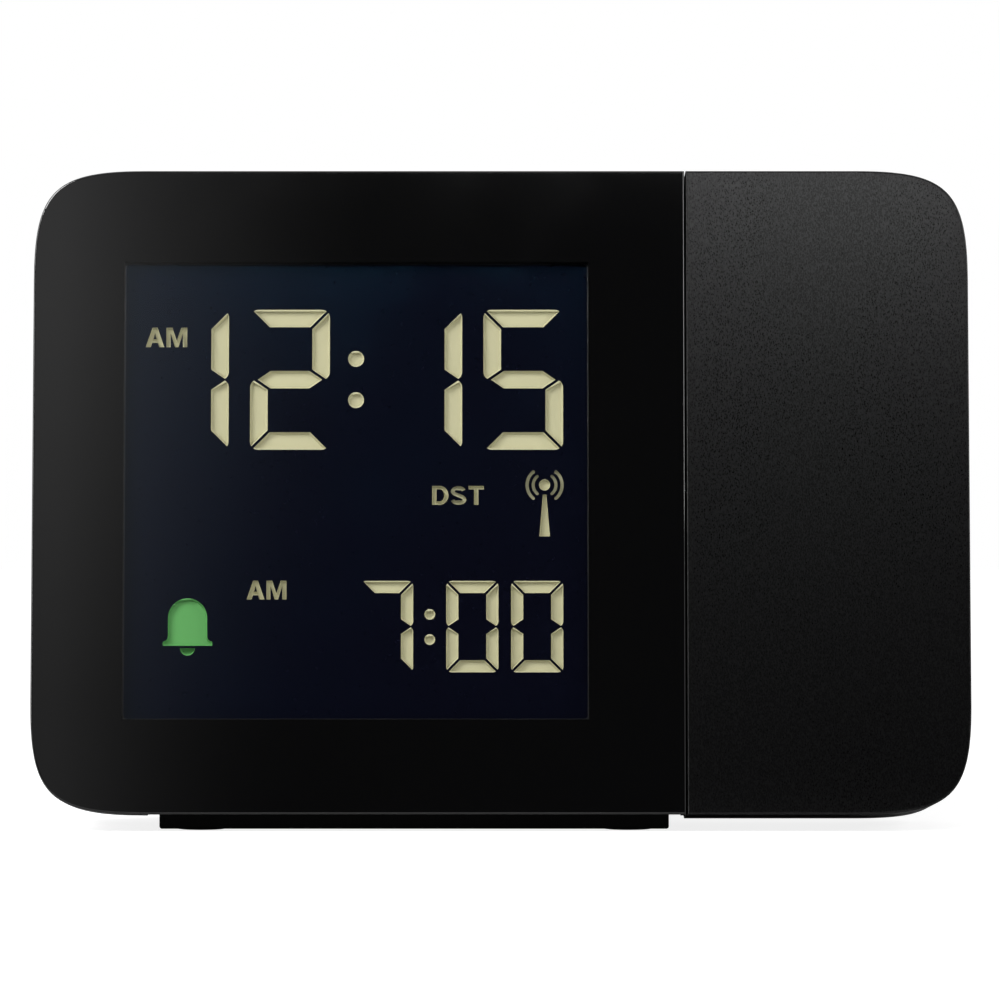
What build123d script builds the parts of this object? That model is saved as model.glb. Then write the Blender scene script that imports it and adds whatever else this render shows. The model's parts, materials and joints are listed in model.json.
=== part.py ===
from build123d import *
import math
import os

# Projection alarm clock, in millimetres.
# Everything but the foot is drawn upright in the case's own frame: X to the right from the
# middle of the case, Y rearward from the front face, Z up from the front bottom edge.
# stand() then leans it back and lifts it onto its foot, so that the foot rests on Z = 0.

# ---------------------------------------------------------------- the case
case_width = 140.0
face_height = 96.5
case_depth = 28.0
corner_reach = 16.4           # length of a front corner's bend along each side
corner_pull = 0.18            # how near its handles lie to the corner, 0 is sharpest
front_edge_round = 0.3
rear_edge_round = 3.0         # top and bottom edges of the back
rear_side_round = 4.0         # left and right edges of the back
least_round = 0.3             # of the same edges inside the wall
wall = 2.0
past = 1.0                    # how far a cutting shape reaches past what it cuts
lean_angle = 5.6
seam_x = 27.62                # middle of the seam between clock and projector arm
seam_gap = 0.2
pivot_depth = 8.0             # arm's axis behind the front face, and the parting plane
rear_step = 0.6               # the clock's rear part is this much smaller all round
step_depth = 5.0              # where that step lies

# ---------------------------------------------------------------- fits
running_gap = 0.05            # round parts that turn or slide in each other
key_gap = 0.15                # round a key in its hole
seat_gap = 0.05               # between a key's flange and the wall that stops it
door_gap = 0.25

# ---------------------------------------------------------------- window and display
window_thickness = 1.6
mask_thickness = 0.2
mask_inset = 0.8
display_left = -56.4
display_right = 13.1
display_bottom = 14.1
display_drop = 13.8           # display's top edge below the case's
display_corner = 0.75
plate_thickness = 1.5         # the front frame's plate behind the window
plate_margin = 0.8            # its opening is this much larger than the display
cell_margin = 2.0             # the LCD glass reaches this far past the display
cell_thickness = 2.6
lcd_frame_wall = 1.4
lcd_frame_depth = 6.6
guide_thickness = 2.4
guide_gap = 0.1
lamp_thickness = 1.8         # backlight lamps, beside the light guide
lamp_length = 3.2
lamp_count = 4
reflector_thickness = 0.2
strip_width = 1.5
strip_gap = 0.2
strip_inset = 4.0

# ---------------------------------------------------------------- boards
board_thickness = 1.6
board_side_gap = 0.6          # main board to the screw bosses beside it
board_bottom = 9.0
board_above_keys = 2.5        # main board's top edge above the key board's
tray_gap = 0.6                # main board round the battery tray
key_board_room = 6.6          # key boards' front face before the case's back face
key_board_thickness = 1.2
key_board_left = -57.0
key_board_right = 17.0
key_board_height = 15.0
notch_width = 5.0
notch_below = 3.0
notch_above = 7.0
chip_x = -45.0
chip_drop = 1.0               # middle of the chip below that of the key row
chip_size = 10.0
chip_thickness = 1.5
crystal_x = -36.0
crystal_radius = 1.5
crystal_length = 8.0
header_x = -42.0
header_width = 16.0
header_height = 2.5
header_drop = 0.4

# ---------------------------------------------------------------- screws of the shells
boss_radius = 3.2
pilot_radius = 1.1
clear_radius = 1.35
head_radius = 2.2
head_height = 1.6
cross_radius = 0.9            # driver recess in a screw head
head_well_radius = 2.5
head_seat_depth = 12.0        # depth at which the screw heads sit
screw_tip_depth = 3.9
body_boss_left = -64.0
body_boss_right = 21.0
arm_boss_left = 33.4
arm_boss_right = 64.0
boss_edge = 9.5               # from the top and bottom edges
left_boss_rise = 20.0         # those left of the display, from the bottom edge
left_boss_drop = 18.5         # and from the top edge

# ---------------------------------------------------------------- keys and switches
key_width = 9.0
key_height = 5.0
key_corner = 1.6
key_top_round = 0.4
key_proud = 0.6
key_flange = 0.7              # width of the flange round the foot of a key
key_flange_thickness = 1.0
key_travel = 0.6
key_row_rise = 29.75          # middle of the key row above the middle of the case
key_first_x = -51.0
key_pitch = 11.0
key_names = ["time_key", "alarm_key", "plus_key", "minus_key", "zone_key"]
mat_thickness = 0.8
mat_margin = 1.5
dome_radius = 2.2
dome_top_radius = 1.4
dome_gap = 0.1                # left under a key that is pressed home
slider_width = 5.0
slider_height = 3.6
slider_proud = 1.0
slider_travel = 4.0
slider_x = 9.0                # middle of the alarm slider's travel
slider_cover = 0.6            # how far its flange still covers past the slot
slider_corner = 1.2
grip_pitch = 1.3
grip_width = 0.5
grip_depth = 0.4
switch_height = 3.6
switch_gap = 0.1
post_radius = 1.6

# ---------------------------------------------------------------- snooze bar
bar_left = -50.0
bar_right = 8.0
bar_front = 9.6
bar_back = 21.0
bar_corner = 3.0
bar_proud = 0.5
bar_gap = 0.3
bar_travel = 0.8
bar_flange = 1.2
bar_flange_thickness = 1.3
plunger_radius = 2.0
stem_radius = 1.1
stem_sink = 1.5
snooze_switch_width = 6.0
snooze_switch_depth = 4.4
snooze_switch_height = 5.5
snooze_switch_drop = 9.0      # its top under the case's top edge

# ---------------------------------------------------------------- batteries
cell_radius = 5.25
cell_length = 43.7
nub_radius = 1.9
nub_length = 0.8
contact_room = 2.2
contact_thickness = 0.35
contact_width = 7.0
contact_foot = 4.05
contact_bend = 3.2
contact_crown = 1.3
bay_left = -44.0
bay_drop = 31.25              # battery tray's lower side below the middle of the case
bay_room = 11.8               # between the tray's floor and the door
bay_wall = 1.5
bay_play = 0.4                # round each cell
door_thickness = 1.8
door_ledge = 1.0
door_foot_gap = 0.5
hook_radius = 0.5
hook_length = 5.0
hook_neck_width = 3.0
hook_neck_length = 1.6
hook_skin = 1.15              # hooks' axis under the back face
hook_inset = 12.0             # hooks' middles from the door's ends
thumb_radius = 5.0
thumb_depth = 0.8

# ---------------------------------------------------------------- sound, radio and power
buzzer_x = -50.0
buzzer_rise = 7.75            # above the middle of the case, as the next ones
buzzer_radius = 11.0
buzzer_height = 4.5
buzzer_rib = 1.0
buzzer_mouth = 7.5
buzzer_mouth_depth = 1.2
hole_radius = 0.8
hole_rings = 2
hole_pitch = 3.2
rod_radius = 4.0
rod_left = -36.0
rod_right = 4.0
rod_rise = 13.75
coil_radius = 4.6
coil_length = 16.0
coil_gap = 0.1                # between the coil and the main board
holder_width = 3.0
holder_inset = 5.0
holder_lip = 1.2
jack_x = 12.3
jack_drop = 22.25             # below the middle of the case
jack_width = 9.0
jack_height = 11.0
jack_corner = 1.0
jack_bore_radius = 3.1
jack_bore_depth = 9.5
jack_pin_radius = 1.0
jack_recess = 0.4
jack_pin_recess = 1.5
reset_x = 13.0
reset_rise = 11.75
reset_radius = 0.9

# ---------------------------------------------------------------- the arm's shaft
shaft_radius = 3.2
shaft_bore_radius = 2.0
shaft_left = 20.5
shaft_right = 34.0
flange_size = 12.0
flange_thickness = 2.0
clamp_thickness = 1.5
clamp_height = 14.0
bearing_length = 4.9
bearing_radius = 4.6
washer_thickness = 0.5
clip_thickness = 0.8
clip_radius = 4.5
groove_radius = 2.6
clip_mouth = 3.6
wire_radius = 0.7

# ---------------------------------------------------------------- projector
lens_x = 46.0
lens_room = 11.1              # lens axis before the case's back face
tube_radius = 9.0
tube_drop = 4.45              # tube's lower end below the middle of the case
tube_length = 26.2
shoulder_rise = 14.2          # tube's inner shoulder above its lower end
lamp_bore_radius = 6.0
barrel_radius = 7.0
barrel_bore_radius = 5.6
barrel_lift = 3.0             # barrel's lower end above the tube's shoulder
barrel_drop = 7.5             # its upper end under the case's top edge
lens_seat_depth = 5.0
lens_radius = 6.3
lens_edge = 1.6
lens_bulge = 1.8
wheel_gap = 0.2
wheel_height = 5.0
wheel_proud = 0.8
wheel_ribs = 36
wheel_rib_depth = 0.35
key_rib_width = 1.2
key_rib_proud = 0.8
key_rib_length = 6.0
slot_gap = 0.4
rib_thickness = 1.6
rib_reach = 11.0              # half width of the ribs that hold the tube
tube_rib_rises = [8.2, 21.2]  # above the tube's lower end
ring_radius = 7.6
ring_bore_radius = 6.4
ring_drop = 5.1               # ring's lower end under the case's top edge
ring_sink = 0.3
lamp_board_radius = 8.5
lamp_board_thickness = 1.2
lamp_size = 3.5
lamp_height = 2.0
lamp_dome_radius = 1.4
condenser_rise = 5.2          # above the tube's lower end
condenser_edge = 1.2
condenser_bulge = 2.2
slide_lcd_size = 9.6
slide_lcd_thickness = 1.8
focus_travel = 1.0            # each way

# ---------------------------------------------------------------- the arm's board and keys
arm_board_left = 38.0
arm_board_right = 60.0
arm_board_bottom = 10.0
arm_board_gap = 4.6           # to the lamp's board over it
flip_key_x = 50.0
flip_key_drop = 7.0           # under the board's top edge
arm_slider_x = 50.0
arm_slider_rise = 8.0         # above the board's bottom edge

# ---------------------------------------------------------------- the wires' corners
body_wire_x = 9.0             # where they leave the main board
body_wire_rise = 8.25         # above the arm's axis, as the next
knee_x = 15.0
knee_rise = 3.25
knee_lift = 1.6               # off the main board
wire_entry = 0.5              # inside the shaft's left end
wire_exit = 2.4               # past the shaft's right end
arm_wire_x = 39.5
arm_wire_fall = 7.75          # under the arm's axis
arm_wire_back = 1.5           # behind the arm's axis
arm_knee_x = 41.5
arm_knee_drop = 4.0           # under the board's top edge, as the next
arm_knee_lift = 6.4           # before the board
arm_end_x = 42.0
arm_end_drop = 10.0

# ---------------------------------------------------------------- the foot
foot_left = -50.92
foot_right = 25.05
foot_front = 4.0
foot_tail = 12.0              # how far it reaches behind the case
foot_lift = 2.43              # case's front bottom edge above the foot's underside
foot_rear_thickness = 2.0
foot_slope_depth = 8.0        # length of the slope behind the case
foot_heel_height = 6.0
foot_edge_round = 0.4         # edges of its underside
recess_margin = 1.75
recess_depth = 1.2
pad_radius = 3.5
pad_proud = 0.3
pad_sink = 0.7
pad_inset = 6.0
foot_screw_radius = 1.25
foot_head_radius = 2.3
foot_head_height = 1.2
foot_head_sink = 0.15
foot_screw_length = 5.5
foot_screw_depth = 20.0
foot_screw_inset = 13.0
foot_boss_height = 6.0

# ---------------------------------------------------------------- what follows from them
half_height = face_height / 2
half_width = case_width / 2
pivot_height = half_height
# The case's rear half keeps inside the circle that the arm's front corners sweep.
sweep_radius = math.hypot(half_height, pivot_depth)
seam_left = seam_x - seam_gap / 2
seam_right = seam_x + seam_gap / 2
body_x = (-half_width - past, seam_left)
arm_x = (seam_right, half_width + past)
inner_back = case_depth - wall
display_top = face_height - display_drop
body_boss_places = [(body_boss_left, left_boss_rise), (body_boss_left, face_height - left_boss_drop),
                    (body_boss_right, boss_edge), (body_boss_right, face_height - boss_edge)]
arm_boss_places = [(x, z) for z in (boss_edge, face_height - boss_edge)
                   for x in (arm_boss_left, arm_boss_right)]

frame_front = window_thickness + mask_thickness
plate_back = frame_front + plate_thickness
guide_front = plate_back + cell_thickness + guide_gap
guide_back = guide_front + guide_thickness + reflector_thickness
guide_left = display_left - cell_margin + lamp_thickness
board_depth = plate_back + lcd_frame_depth
board_back = board_depth + board_thickness
board_left = body_boss_left + boss_radius + board_side_gap
board_right = body_boss_right - boss_radius - board_side_gap

key_row_height = pivot_height + key_row_rise
chip_z = key_row_height - chip_drop
key_board_depth = case_depth - key_board_room
key_board_back = key_board_depth + key_board_thickness
key_board_bottom = key_row_height - key_board_height / 2
key_board_top = key_row_height + key_board_height / 2
board_top = key_board_top + board_above_keys
key_foot_depth = inner_back - seat_gap - key_flange_thickness
dome_top = key_foot_depth - key_travel - dome_gap
key_row = [(key_first_x + index * key_pitch, key_row_height) for index in range(len(key_names))]

bar_x = (bar_left + bar_right) / 2
bar_seat = rear_step + wall + seat_gap
snooze_switch_top = face_height - snooze_switch_drop
plunger_depth = board_back + snooze_switch_depth / 2
plunger_bottom = snooze_switch_top + bar_travel + bar_gap

door_inside = case_depth - door_thickness
bay_floor_depth = door_inside - bay_room
bay_bottom = pivot_height - bay_drop
bay_right = bay_left + cell_length + nub_length + 2 * contact_room
bay_top = bay_bottom + 4 * cell_radius + 3 * bay_play
lower_cell_z = bay_bottom + bay_play + cell_radius
upper_cell_z = bay_top - bay_play - cell_radius
cell_depth = bay_floor_depth + bay_play + cell_radius
door_left = bay_left - door_ledge
door_right = bay_right + door_ledge
door_bottom = bay_bottom - door_ledge
door_top = bay_top + door_ledge
hook_depth = case_depth - hook_skin
hook_z = door_bottom - hook_neck_length
hook_places = [door_left + hook_inset, door_right - hook_inset]

buzzer_z = pivot_height + buzzer_rise
rod_height = pivot_height + rod_rise
rod_depth = board_back + coil_gap + coil_radius
jack_z = pivot_height - jack_drop
reset_z = pivot_height + reset_rise

bearing_end = seam_left - bearing_length
washer_end = bearing_end - washer_thickness
clip_end = washer_end - running_gap
flange_left = seam_right + wall
flange_right = flange_left + flange_thickness

lens_depth = case_depth - lens_room
tube_bottom = pivot_height - tube_drop
tube_top = tube_bottom + tube_length
tube_shoulder = tube_bottom + shoulder_rise
tube_rib_heights = [tube_bottom + rise for rise in tube_rib_rises]
condenser_bottom = tube_bottom + condenser_rise
barrel_bottom = tube_shoulder + barrel_lift
barrel_top = face_height - barrel_drop
lens_seat = barrel_top - lens_seat_depth
ring_bottom = face_height - ring_drop
wheel_bottom = tube_top + wheel_gap
wheel_top = wheel_bottom + wheel_height
wheel_radius = lens_room + wheel_proud

arm_board_top = tube_bottom - lamp_board_thickness - arm_board_gap
flip_key_z = arm_board_top - flip_key_drop
arm_slider_z = arm_board_bottom + arm_slider_rise

foot_rear = case_depth + foot_tail
recess_top = rear_step + recess_depth
foot_boss_top = recess_top + foot_boss_height
foot_screw_places = [foot_left + foot_screw_inset, foot_right - foot_screw_inset]
stand_lift = pad_proud + foot_lift
foot_underside = (foot_screw_depth * math.sin(math.radians(lean_angle)) - foot_lift) \
    / math.cos(math.radians(lean_angle))
foot_head_top = foot_underside + foot_head_sink + foot_head_height
pad_front = foot_front - foot_rear / 2 + pad_inset
pad_rear = foot_rear / 2 - pad_inset
pad_places = [(x, y) for x in (foot_left + pad_inset, foot_right - pad_inset)
              for y in (pad_front, pad_rear)]


# ---------------------------------------------------------------- shapes
def block(x0, x1, y0, y1, z0, z1):
    """A box between two corners."""
    middle = ((x0 + x1) / 2, (y0 + y1) / 2, (z0 + z1) / 2)
    return Pos(*middle) * Box(abs(x1 - x0), abs(y1 - y0), abs(z1 - z0))


def rod_x(radius, x0, x1, y, z):
    return Pos((x0 + x1) / 2, y, z) * Rot(0, 90, 0) * Cylinder(radius, abs(x1 - x0))


def rod_y(radius, x, y0, y1, z):
    return Pos(x, (y0 + y1) / 2, z) * Rot(90, 0, 0) * Cylinder(radius, abs(y1 - y0))


def rod_z(radius, x, y, z0, z1):
    return Pos(x, y, (z0 + z1) / 2) * Cylinder(radius, abs(z1 - z0))


def rounded_y(x, z, width, height, corner, y0, y1):
    """A rounded rectangle in the front view, from depth y0 to y1."""
    solid = block(x - width / 2, x + width / 2, y0, y1, z - height / 2, z + height / 2)
    return fillet(solid.edges().filter_by(Axis.Y), corner)


def rounded_z(x0, x1, y0, y1, corner, z0, z1):
    """A rounded rectangle in plan, from height z0 to z1."""
    solid = block(x0, x1, y0, y1, z0, z1)
    return fillet(solid.edges().filter_by(Axis.Z), corner)


def one(shape):
    """The only solid of a shape."""
    solids = shape.solids()
    assert len(solids) == 1, f"{len(solids)} solids where one was meant"
    return solids[0]


# ---------------------------------------------------------------- the case's outer form
def front_prism(inset, y0, y1):
    """The rounded front outline, smaller by inset, from depth y0 to y1."""
    left, right = -half_width + inset, half_width - inset
    bottom, top = inset, face_height - inset
    reach = corner_reach - inset
    handle = corner_pull * reach
    corners = [
        (left, bottom, (0, 1), (1, 0)),
        (right, bottom, (-1, 0), (0, 1)),
        (right, top, (0, -1), (-1, 0)),
        (left, top, (1, 0), (0, -1)),
    ]
    bends = []
    for x, z, (from_x, from_z), (to_x, to_z) in corners:
        bends.append(Bezier(
            (x + from_x * reach, y0, z + from_z * reach),
            (x + from_x * handle, y0, z + from_z * handle),
            (x + to_x * handle, y0, z + to_z * handle),
            (x + to_x * reach, y0, z + to_z * reach),
        ))
    edges = []
    for bend, following in zip(bends, bends[1:] + bends[:1]):
        edges += [bend, Line(bend @ 1, following @ 0)]
    return extrude(make_face(edges), amount=y1 - y0, dir=(0, 1, 0))


def side_prism(inset, back):
    """The side view: flat top and bottom, then arcs about the arm's axis, and a flat back."""
    radius = sweep_radius - inset
    half = half_height - inset
    flat_end = pivot_depth + math.sqrt(radius**2 - half**2)
    half_back = math.sqrt(radius**2 - (back - pivot_depth)**2)
    middle_angle = (math.acos(half / radius) + math.acos(half_back / radius)) / 2
    bulge_y = pivot_depth + radius * math.sin(middle_angle)
    bulge_z = radius * math.cos(middle_angle)
    x = -half_width - past

    def at(y, z):
        return (x, y, pivot_height + z)

    profile = make_face([
        Line(at(-past, -half), at(-past, half)),
        Line(at(-past, half), at(flat_end, half)),
        ThreePointArc(at(flat_end, half), at(bulge_y, bulge_z), at(back, half_back)),
        Line(at(back, half_back), at(back, -half_back)),
        ThreePointArc(at(back, -half_back), at(bulge_y, -bulge_z), at(flat_end, -half)),
        Line(at(flat_end, -half), at(-past, -half)),
    ])
    solid = extrude(profile, amount=case_width + 2 * past, dir=(1, 0, 0))
    rear_edges = solid.edges().filter_by(Axis.X).group_by(Axis.Y)[-1]
    return fillet(rear_edges, max(rear_edge_round - inset, least_round))


def plan_prism(inset, back):
    """The view from above: a rectangle whose two rear corners are rounded."""
    solid = block(-half_width + inset, half_width - inset, -past, back, -past, face_height + past)
    rear_edges = solid.edges().filter_by(Axis.Z).group_by(Axis.Y)[-1]
    return fillet(rear_edges, max(rear_side_round - inset, least_round))


def case_part(inset, x_range, y0, y1, back):
    """The case's outer form, smaller by inset all round, with its back face at depth back.

    It is cut off at two sides and at two depths.
    """
    limits = block(*x_range, y0, y1, -past, face_height + past)
    form = front_prism(inset, y0, y1) & side_prism(inset, back) & plan_prism(inset, back)
    return form & limits


def round_front_edges(solid):
    return fillet(solid.edges().group_by(Axis.Y)[0], front_edge_round)


def stand(shape):
    """Lean the upright case back and put it on its foot, the middle of its depth at Y = 0."""
    return Pos(0, -foot_rear / 2, stand_lift) * Rot(-lean_angle, 0, 0) * shape


def unstand(shape):
    """The reverse of stand(), for a shape given where it stands."""
    return Rot(lean_angle, 0, 0) * Pos(0, foot_rear / 2, -stand_lift) * shape


# ---------------------------------------------------------------- shells
def boss_wells(places):
    """Holes for the shell screws: a well for each head, a clear hole and a pilot hole."""
    holes = []
    for x, z in places:
        holes.append(rod_y(head_well_radius, x, head_seat_depth, case_depth + past, z))
        holes.append(rod_y(clear_radius, x, pivot_depth, head_seat_depth, z))
        holes.append(rod_y(pilot_radius, x, screw_tip_depth, pivot_depth, z))
    return holes


def shell_screws(places):
    screws = []
    for x, z in places:
        head = rod_y(head_radius, x, head_seat_depth, head_seat_depth + head_height, z)
        cross = rod_y(cross_radius, x, head_seat_depth + head_height / 2,
                      head_seat_depth + head_height, z)
        shank = rod_y(pilot_radius, x, screw_tip_depth, head_seat_depth, z)
        screws.append(one(head + shank - cross))
    return Compound(children=screws)


def window():
    panel = front_prism(0, 0, window_thickness)
    panel &= block(*body_x, 0, window_thickness, -past, face_height + past)
    return one(round_front_edges(panel))


def display_hole(margin, y0, y1):
    """The display's rounded opening, larger by margin."""
    width = display_right - display_left + 2 * margin
    height = display_top - display_bottom + 2 * margin
    middle_x = (display_left + display_right) / 2
    middle_z = (display_bottom + display_top) / 2
    return rounded_y(middle_x, middle_z, width, height, display_corner + margin, y0, y1)


def mask():
    sheet = front_prism(mask_inset, window_thickness, frame_front)
    sheet &= block(-half_width, seam_left - mask_inset, 0, case_depth, 0, face_height)
    return one(sheet - display_hole(0, 0, case_depth))


def foot_recess():
    """The shallow recess in the clock's underside that the foot sits in."""
    return block(foot_left - recess_margin, foot_right + recess_margin,
                 frame_front, case_depth + past, -past, recess_top)


def bearing(radius):
    return rod_x(radius, bearing_end, seam_left, pivot_depth, pivot_height)


def shaft_hole():
    return rod_x(shaft_radius + running_gap, bearing_end - past, seam_left + past, pivot_depth, pivot_height)


def front_frame():
    frame = front_prism(0, frame_front, step_depth) + front_prism(rear_step, step_depth, pivot_depth)
    frame &= block(*body_x, 0, pivot_depth, -past, face_height + past)
    hollow = front_prism(rear_step + wall, plate_back, pivot_depth)
    hollow &= block(-half_width, seam_left - wall, 0, pivot_depth, 0, face_height)
    frame -= hollow
    frame -= display_hole(plate_margin, 0, pivot_depth)
    for x, z in body_boss_places:
        frame += rod_y(boss_radius, x, plate_back, pivot_depth, z)
    frame += bearing(bearing_radius) & block(*body_x, plate_back, pivot_depth, 0, face_height)
    frame -= shaft_hole()
    frame -= foot_recess()
    for hole in boss_wells(body_boss_places):
        frame -= hole
    return one(frame)


def key_hole(x, z):
    return rounded_y(x, z, key_width + 2 * key_gap, key_height + 2 * key_gap,
                     key_corner + key_gap, inner_back - past, case_depth + past)


def slider_hole(x, z):
    return rounded_y(x, z, slider_width + slider_travel + 2 * key_gap, slider_height + 2 * key_gap,
                     slider_height / 2 - key_gap, inner_back - past, case_depth + past)


def board_posts(left, right, bottom, top):
    """Four posts between a key board's corners and the back wall."""
    posts = []
    for x in (left + post_radius, right - post_radius):
        for z in (bottom + post_radius, top - post_radius):
            posts.append(rod_y(post_radius, x, key_board_back, inner_back + past / 2, z))
    return posts


def sound_holes():
    """Rings of small holes over the buzzer."""
    holes = [rod_y(hole_radius, buzzer_x, inner_back - past, case_depth + past, buzzer_z)]
    for ring in range(1, hole_rings + 1):
        count = 6 * ring
        for index in range(count):
            angle = 2 * math.pi * index / count
            x = buzzer_x + ring * hole_pitch * math.cos(angle)
            z = buzzer_z + ring * hole_pitch * math.sin(angle)
            holes.append(rod_y(hole_radius, x, inner_back - past, case_depth + past, z))
    return holes


def bar_plan(grow, z0, z1):
    """The snooze bar's rounded outline seen from above, larger by grow."""
    return rounded_z(bar_left - grow, bar_right + grow, bar_front - grow, bar_back + grow,
                     bar_corner + grow, z0, z1)


def rear_housing():
    shell = case_part(rear_step, body_x, pivot_depth, case_depth, case_depth)
    inner_x = (-half_width, seam_left - wall)
    shell -= case_part(rear_step + wall, inner_x, pivot_depth, inner_back, inner_back)
    # battery tray
    shell += block(bay_left - bay_wall, bay_right + bay_wall, bay_floor_depth - bay_wall, inner_back,
                   bay_bottom - bay_wall, bay_top + bay_wall)
    shell -= block(bay_left, bay_right, bay_floor_depth, case_depth, bay_bottom, bay_top)
    shell -= block(door_left - door_gap, door_right + door_gap, door_inside, case_depth + past,
                   door_bottom - door_foot_gap, door_top + door_gap)
    # bosses, bearing, posts and the buzzer's rim
    for x, z in body_boss_places:
        shell += rod_y(boss_radius, x, pivot_depth, inner_back, z)
    shell += bearing(bearing_radius) & block(*body_x, pivot_depth, case_depth, 0, face_height)
    for post in board_posts(key_board_left, key_board_right, key_board_bottom, key_board_top):
        shell += post
    rim_depth = inner_back - buzzer_height
    rim = rod_y(buzzer_radius + buzzer_rib, buzzer_x, rim_depth, inner_back, buzzer_z)
    shell += rim - rod_y(buzzer_radius, buzzer_x, rim_depth, inner_back, buzzer_z)
    for x in foot_screw_places:
        shell += rod_z(boss_radius, x, foot_screw_depth, recess_top + past, foot_boss_top)
    # openings
    shell -= shaft_hole()
    shell -= foot_recess()
    for hole in boss_wells(body_boss_places) + sound_holes():
        shell -= hole
    for x, z in key_row:
        shell -= key_hole(x, z)
    shell -= slider_hole(slider_x, key_row_height)
    shell -= bar_plan(bar_gap, pivot_height, face_height + past)
    shell -= rounded_y(jack_x, jack_z, jack_width + 2 * key_gap, jack_height + 2 * key_gap, jack_corner,
                       inner_back - past, case_depth + past)
    shell -= rod_y(reset_radius, reset_x, inner_back - past, case_depth + past, reset_z)
    for x in hook_places:
        shell -= hook_socket(x)
    thumb_place = (door_left + door_right) / 2
    shell -= rod_y(thumb_radius, thumb_place, case_depth - thumb_depth, case_depth + past, door_top)
    for x in foot_screw_places:
        shell -= rod_z(foot_screw_radius, x, foot_screw_depth, -past, foot_boss_top - past)
    return one(shell)


# ---------------------------------------------------------------- display stack
def display_block(margin, y0, y1):
    """A plain block behind the display, larger than it by margin."""
    return block(display_left - margin, display_right + margin, y0, y1,
                 display_bottom - margin, display_top + margin)


def strip_slot(grow):
    """The room of the rubber contact strip between the LCD's upper edge and the main board."""
    bottom = display_top + strip_gap
    return block(display_left + strip_inset - grow, display_right - strip_inset + grow,
                 plate_back + cell_thickness, board_depth, bottom - grow, bottom + strip_width + grow)


def lcd_cell():
    return display_block(cell_margin, plate_back, plate_back + cell_thickness)


def lcd_frame():
    tray = display_block(cell_margin + lcd_frame_wall, plate_back, board_depth)
    tray -= display_block(cell_margin, plate_back, guide_back)
    return one(tray - strip_slot(strip_gap / 2))


def light_guide():
    """A clear plate that spreads the light of the lamps at its left edge."""
    return block(guide_left, display_right + cell_margin, guide_front, guide_front + guide_thickness,
                 display_bottom - cell_margin, display_top)


def reflector_sheet():
    return block(guide_left, display_right + cell_margin, guide_front + guide_thickness, guide_back,
                 display_bottom - cell_margin, display_top)


def backlight_lamps():
    lamps = []
    for index in range(lamp_count):
        z = display_bottom + (index + 0.5) * (display_top - display_bottom) / lamp_count
        lamps.append(block(display_left - cell_margin, guide_left, guide_front,
                           guide_front + guide_thickness, z - lamp_length / 2, z + lamp_length / 2))
    return Compound(children=lamps)


def contact_strip():
    return strip_slot(0)


# ---------------------------------------------------------------- boards
def main_board():
    board = block(board_left, board_right, board_depth, board_back, board_bottom, board_top)
    # it is cut out round the battery tray
    reach = bay_wall + tray_gap
    board -= block(bay_left - reach, bay_right + reach, 0, case_depth,
                   board_bottom - past, bay_top + reach)
    # the notch lets the arm's wires through to the shaft
    return board - block(board_right - notch_width, board_right + past, 0, case_depth,
                         pivot_height - notch_below, pivot_height + notch_above)


def display_driver():
    return block(chip_x - chip_size / 2, chip_x + chip_size / 2, board_back, board_back + chip_thickness,
                 chip_z - chip_size / 2, chip_z + chip_size / 2)


def clock_crystal():
    """A small can that lies on the board."""
    return rod_x(crystal_radius, crystal_x, crystal_x + crystal_length, board_back + crystal_radius, chip_z)


def board_link():
    """The pin header between the main board and the key board."""
    return block(header_x - header_width / 2, header_x + header_width / 2, board_back, key_board_depth,
                 key_board_top - header_height - header_drop, key_board_top - header_drop)


def key_board():
    return block(key_board_left, key_board_right, key_board_depth, key_board_back,
                 key_board_bottom, key_board_top)


# ---------------------------------------------------------------- keys and sliders
def key(x, z):
    cap = rounded_y(x, z, key_width, key_height, key_corner, key_foot_depth, case_depth + key_proud)
    cap = fillet(cap.edges().group_by(Axis.Y)[-1], key_top_round)
    foot = rounded_y(x, z, key_width + 2 * key_flange, key_height + 2 * key_flange,
                     key_corner + key_flange, key_foot_depth, key_foot_depth + key_flange_thickness)
    return one(cap + foot)


def key_mat(places):
    """A rubber mat with a dome under each key."""
    left = min(x for x, z in places) - key_width / 2 - mat_margin
    right = max(x for x, z in places) + key_width / 2 + mat_margin
    reach = key_height / 2 + mat_margin
    z = places[0][1]
    mat = block(left, right, key_board_back, key_board_back + mat_thickness, z - reach, z + reach)
    for x, z in places:
        mat += Pos(x, key_board_back + mat_thickness, z) * Rot(-90, 0, 0) \
            * Cone(dome_radius, dome_top_radius, dome_top - key_board_back - mat_thickness,
                   align=(Align.CENTER, Align.CENTER, Align.MIN))
    return one(mat)


def slider(x, z):
    """The knob of a slide switch, at the left end of its travel."""
    at_rest = x - slider_travel / 2
    knob = rounded_y(at_rest, z, slider_width, slider_height, slider_corner,
                     key_foot_depth, case_depth + slider_proud)
    for side in (-1, 0, 1):
        groove_x = at_rest + side * grip_pitch
        knob -= block(groove_x - grip_width / 2, groove_x + grip_width / 2,
                      case_depth + slider_proud - grip_depth, case_depth + slider_proud + past,
                      z - slider_height, z + slider_height)
    cover = slider_width + 2 * (slider_travel + key_gap + slider_cover)
    foot = rounded_y(at_rest, z, cover, slider_height + 2 * key_flange, slider_corner,
                     key_foot_depth, key_foot_depth + key_flange_thickness)
    return one(knob + foot)


def slide_switch(x, z):
    """The fixed housing of a slide switch, on its board under the knob."""
    reach = (slider_width + slider_travel) / 2
    return block(x - reach, x + reach, key_board_back, key_foot_depth - switch_gap,
                 z - switch_height / 2, z + switch_height / 2)


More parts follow.
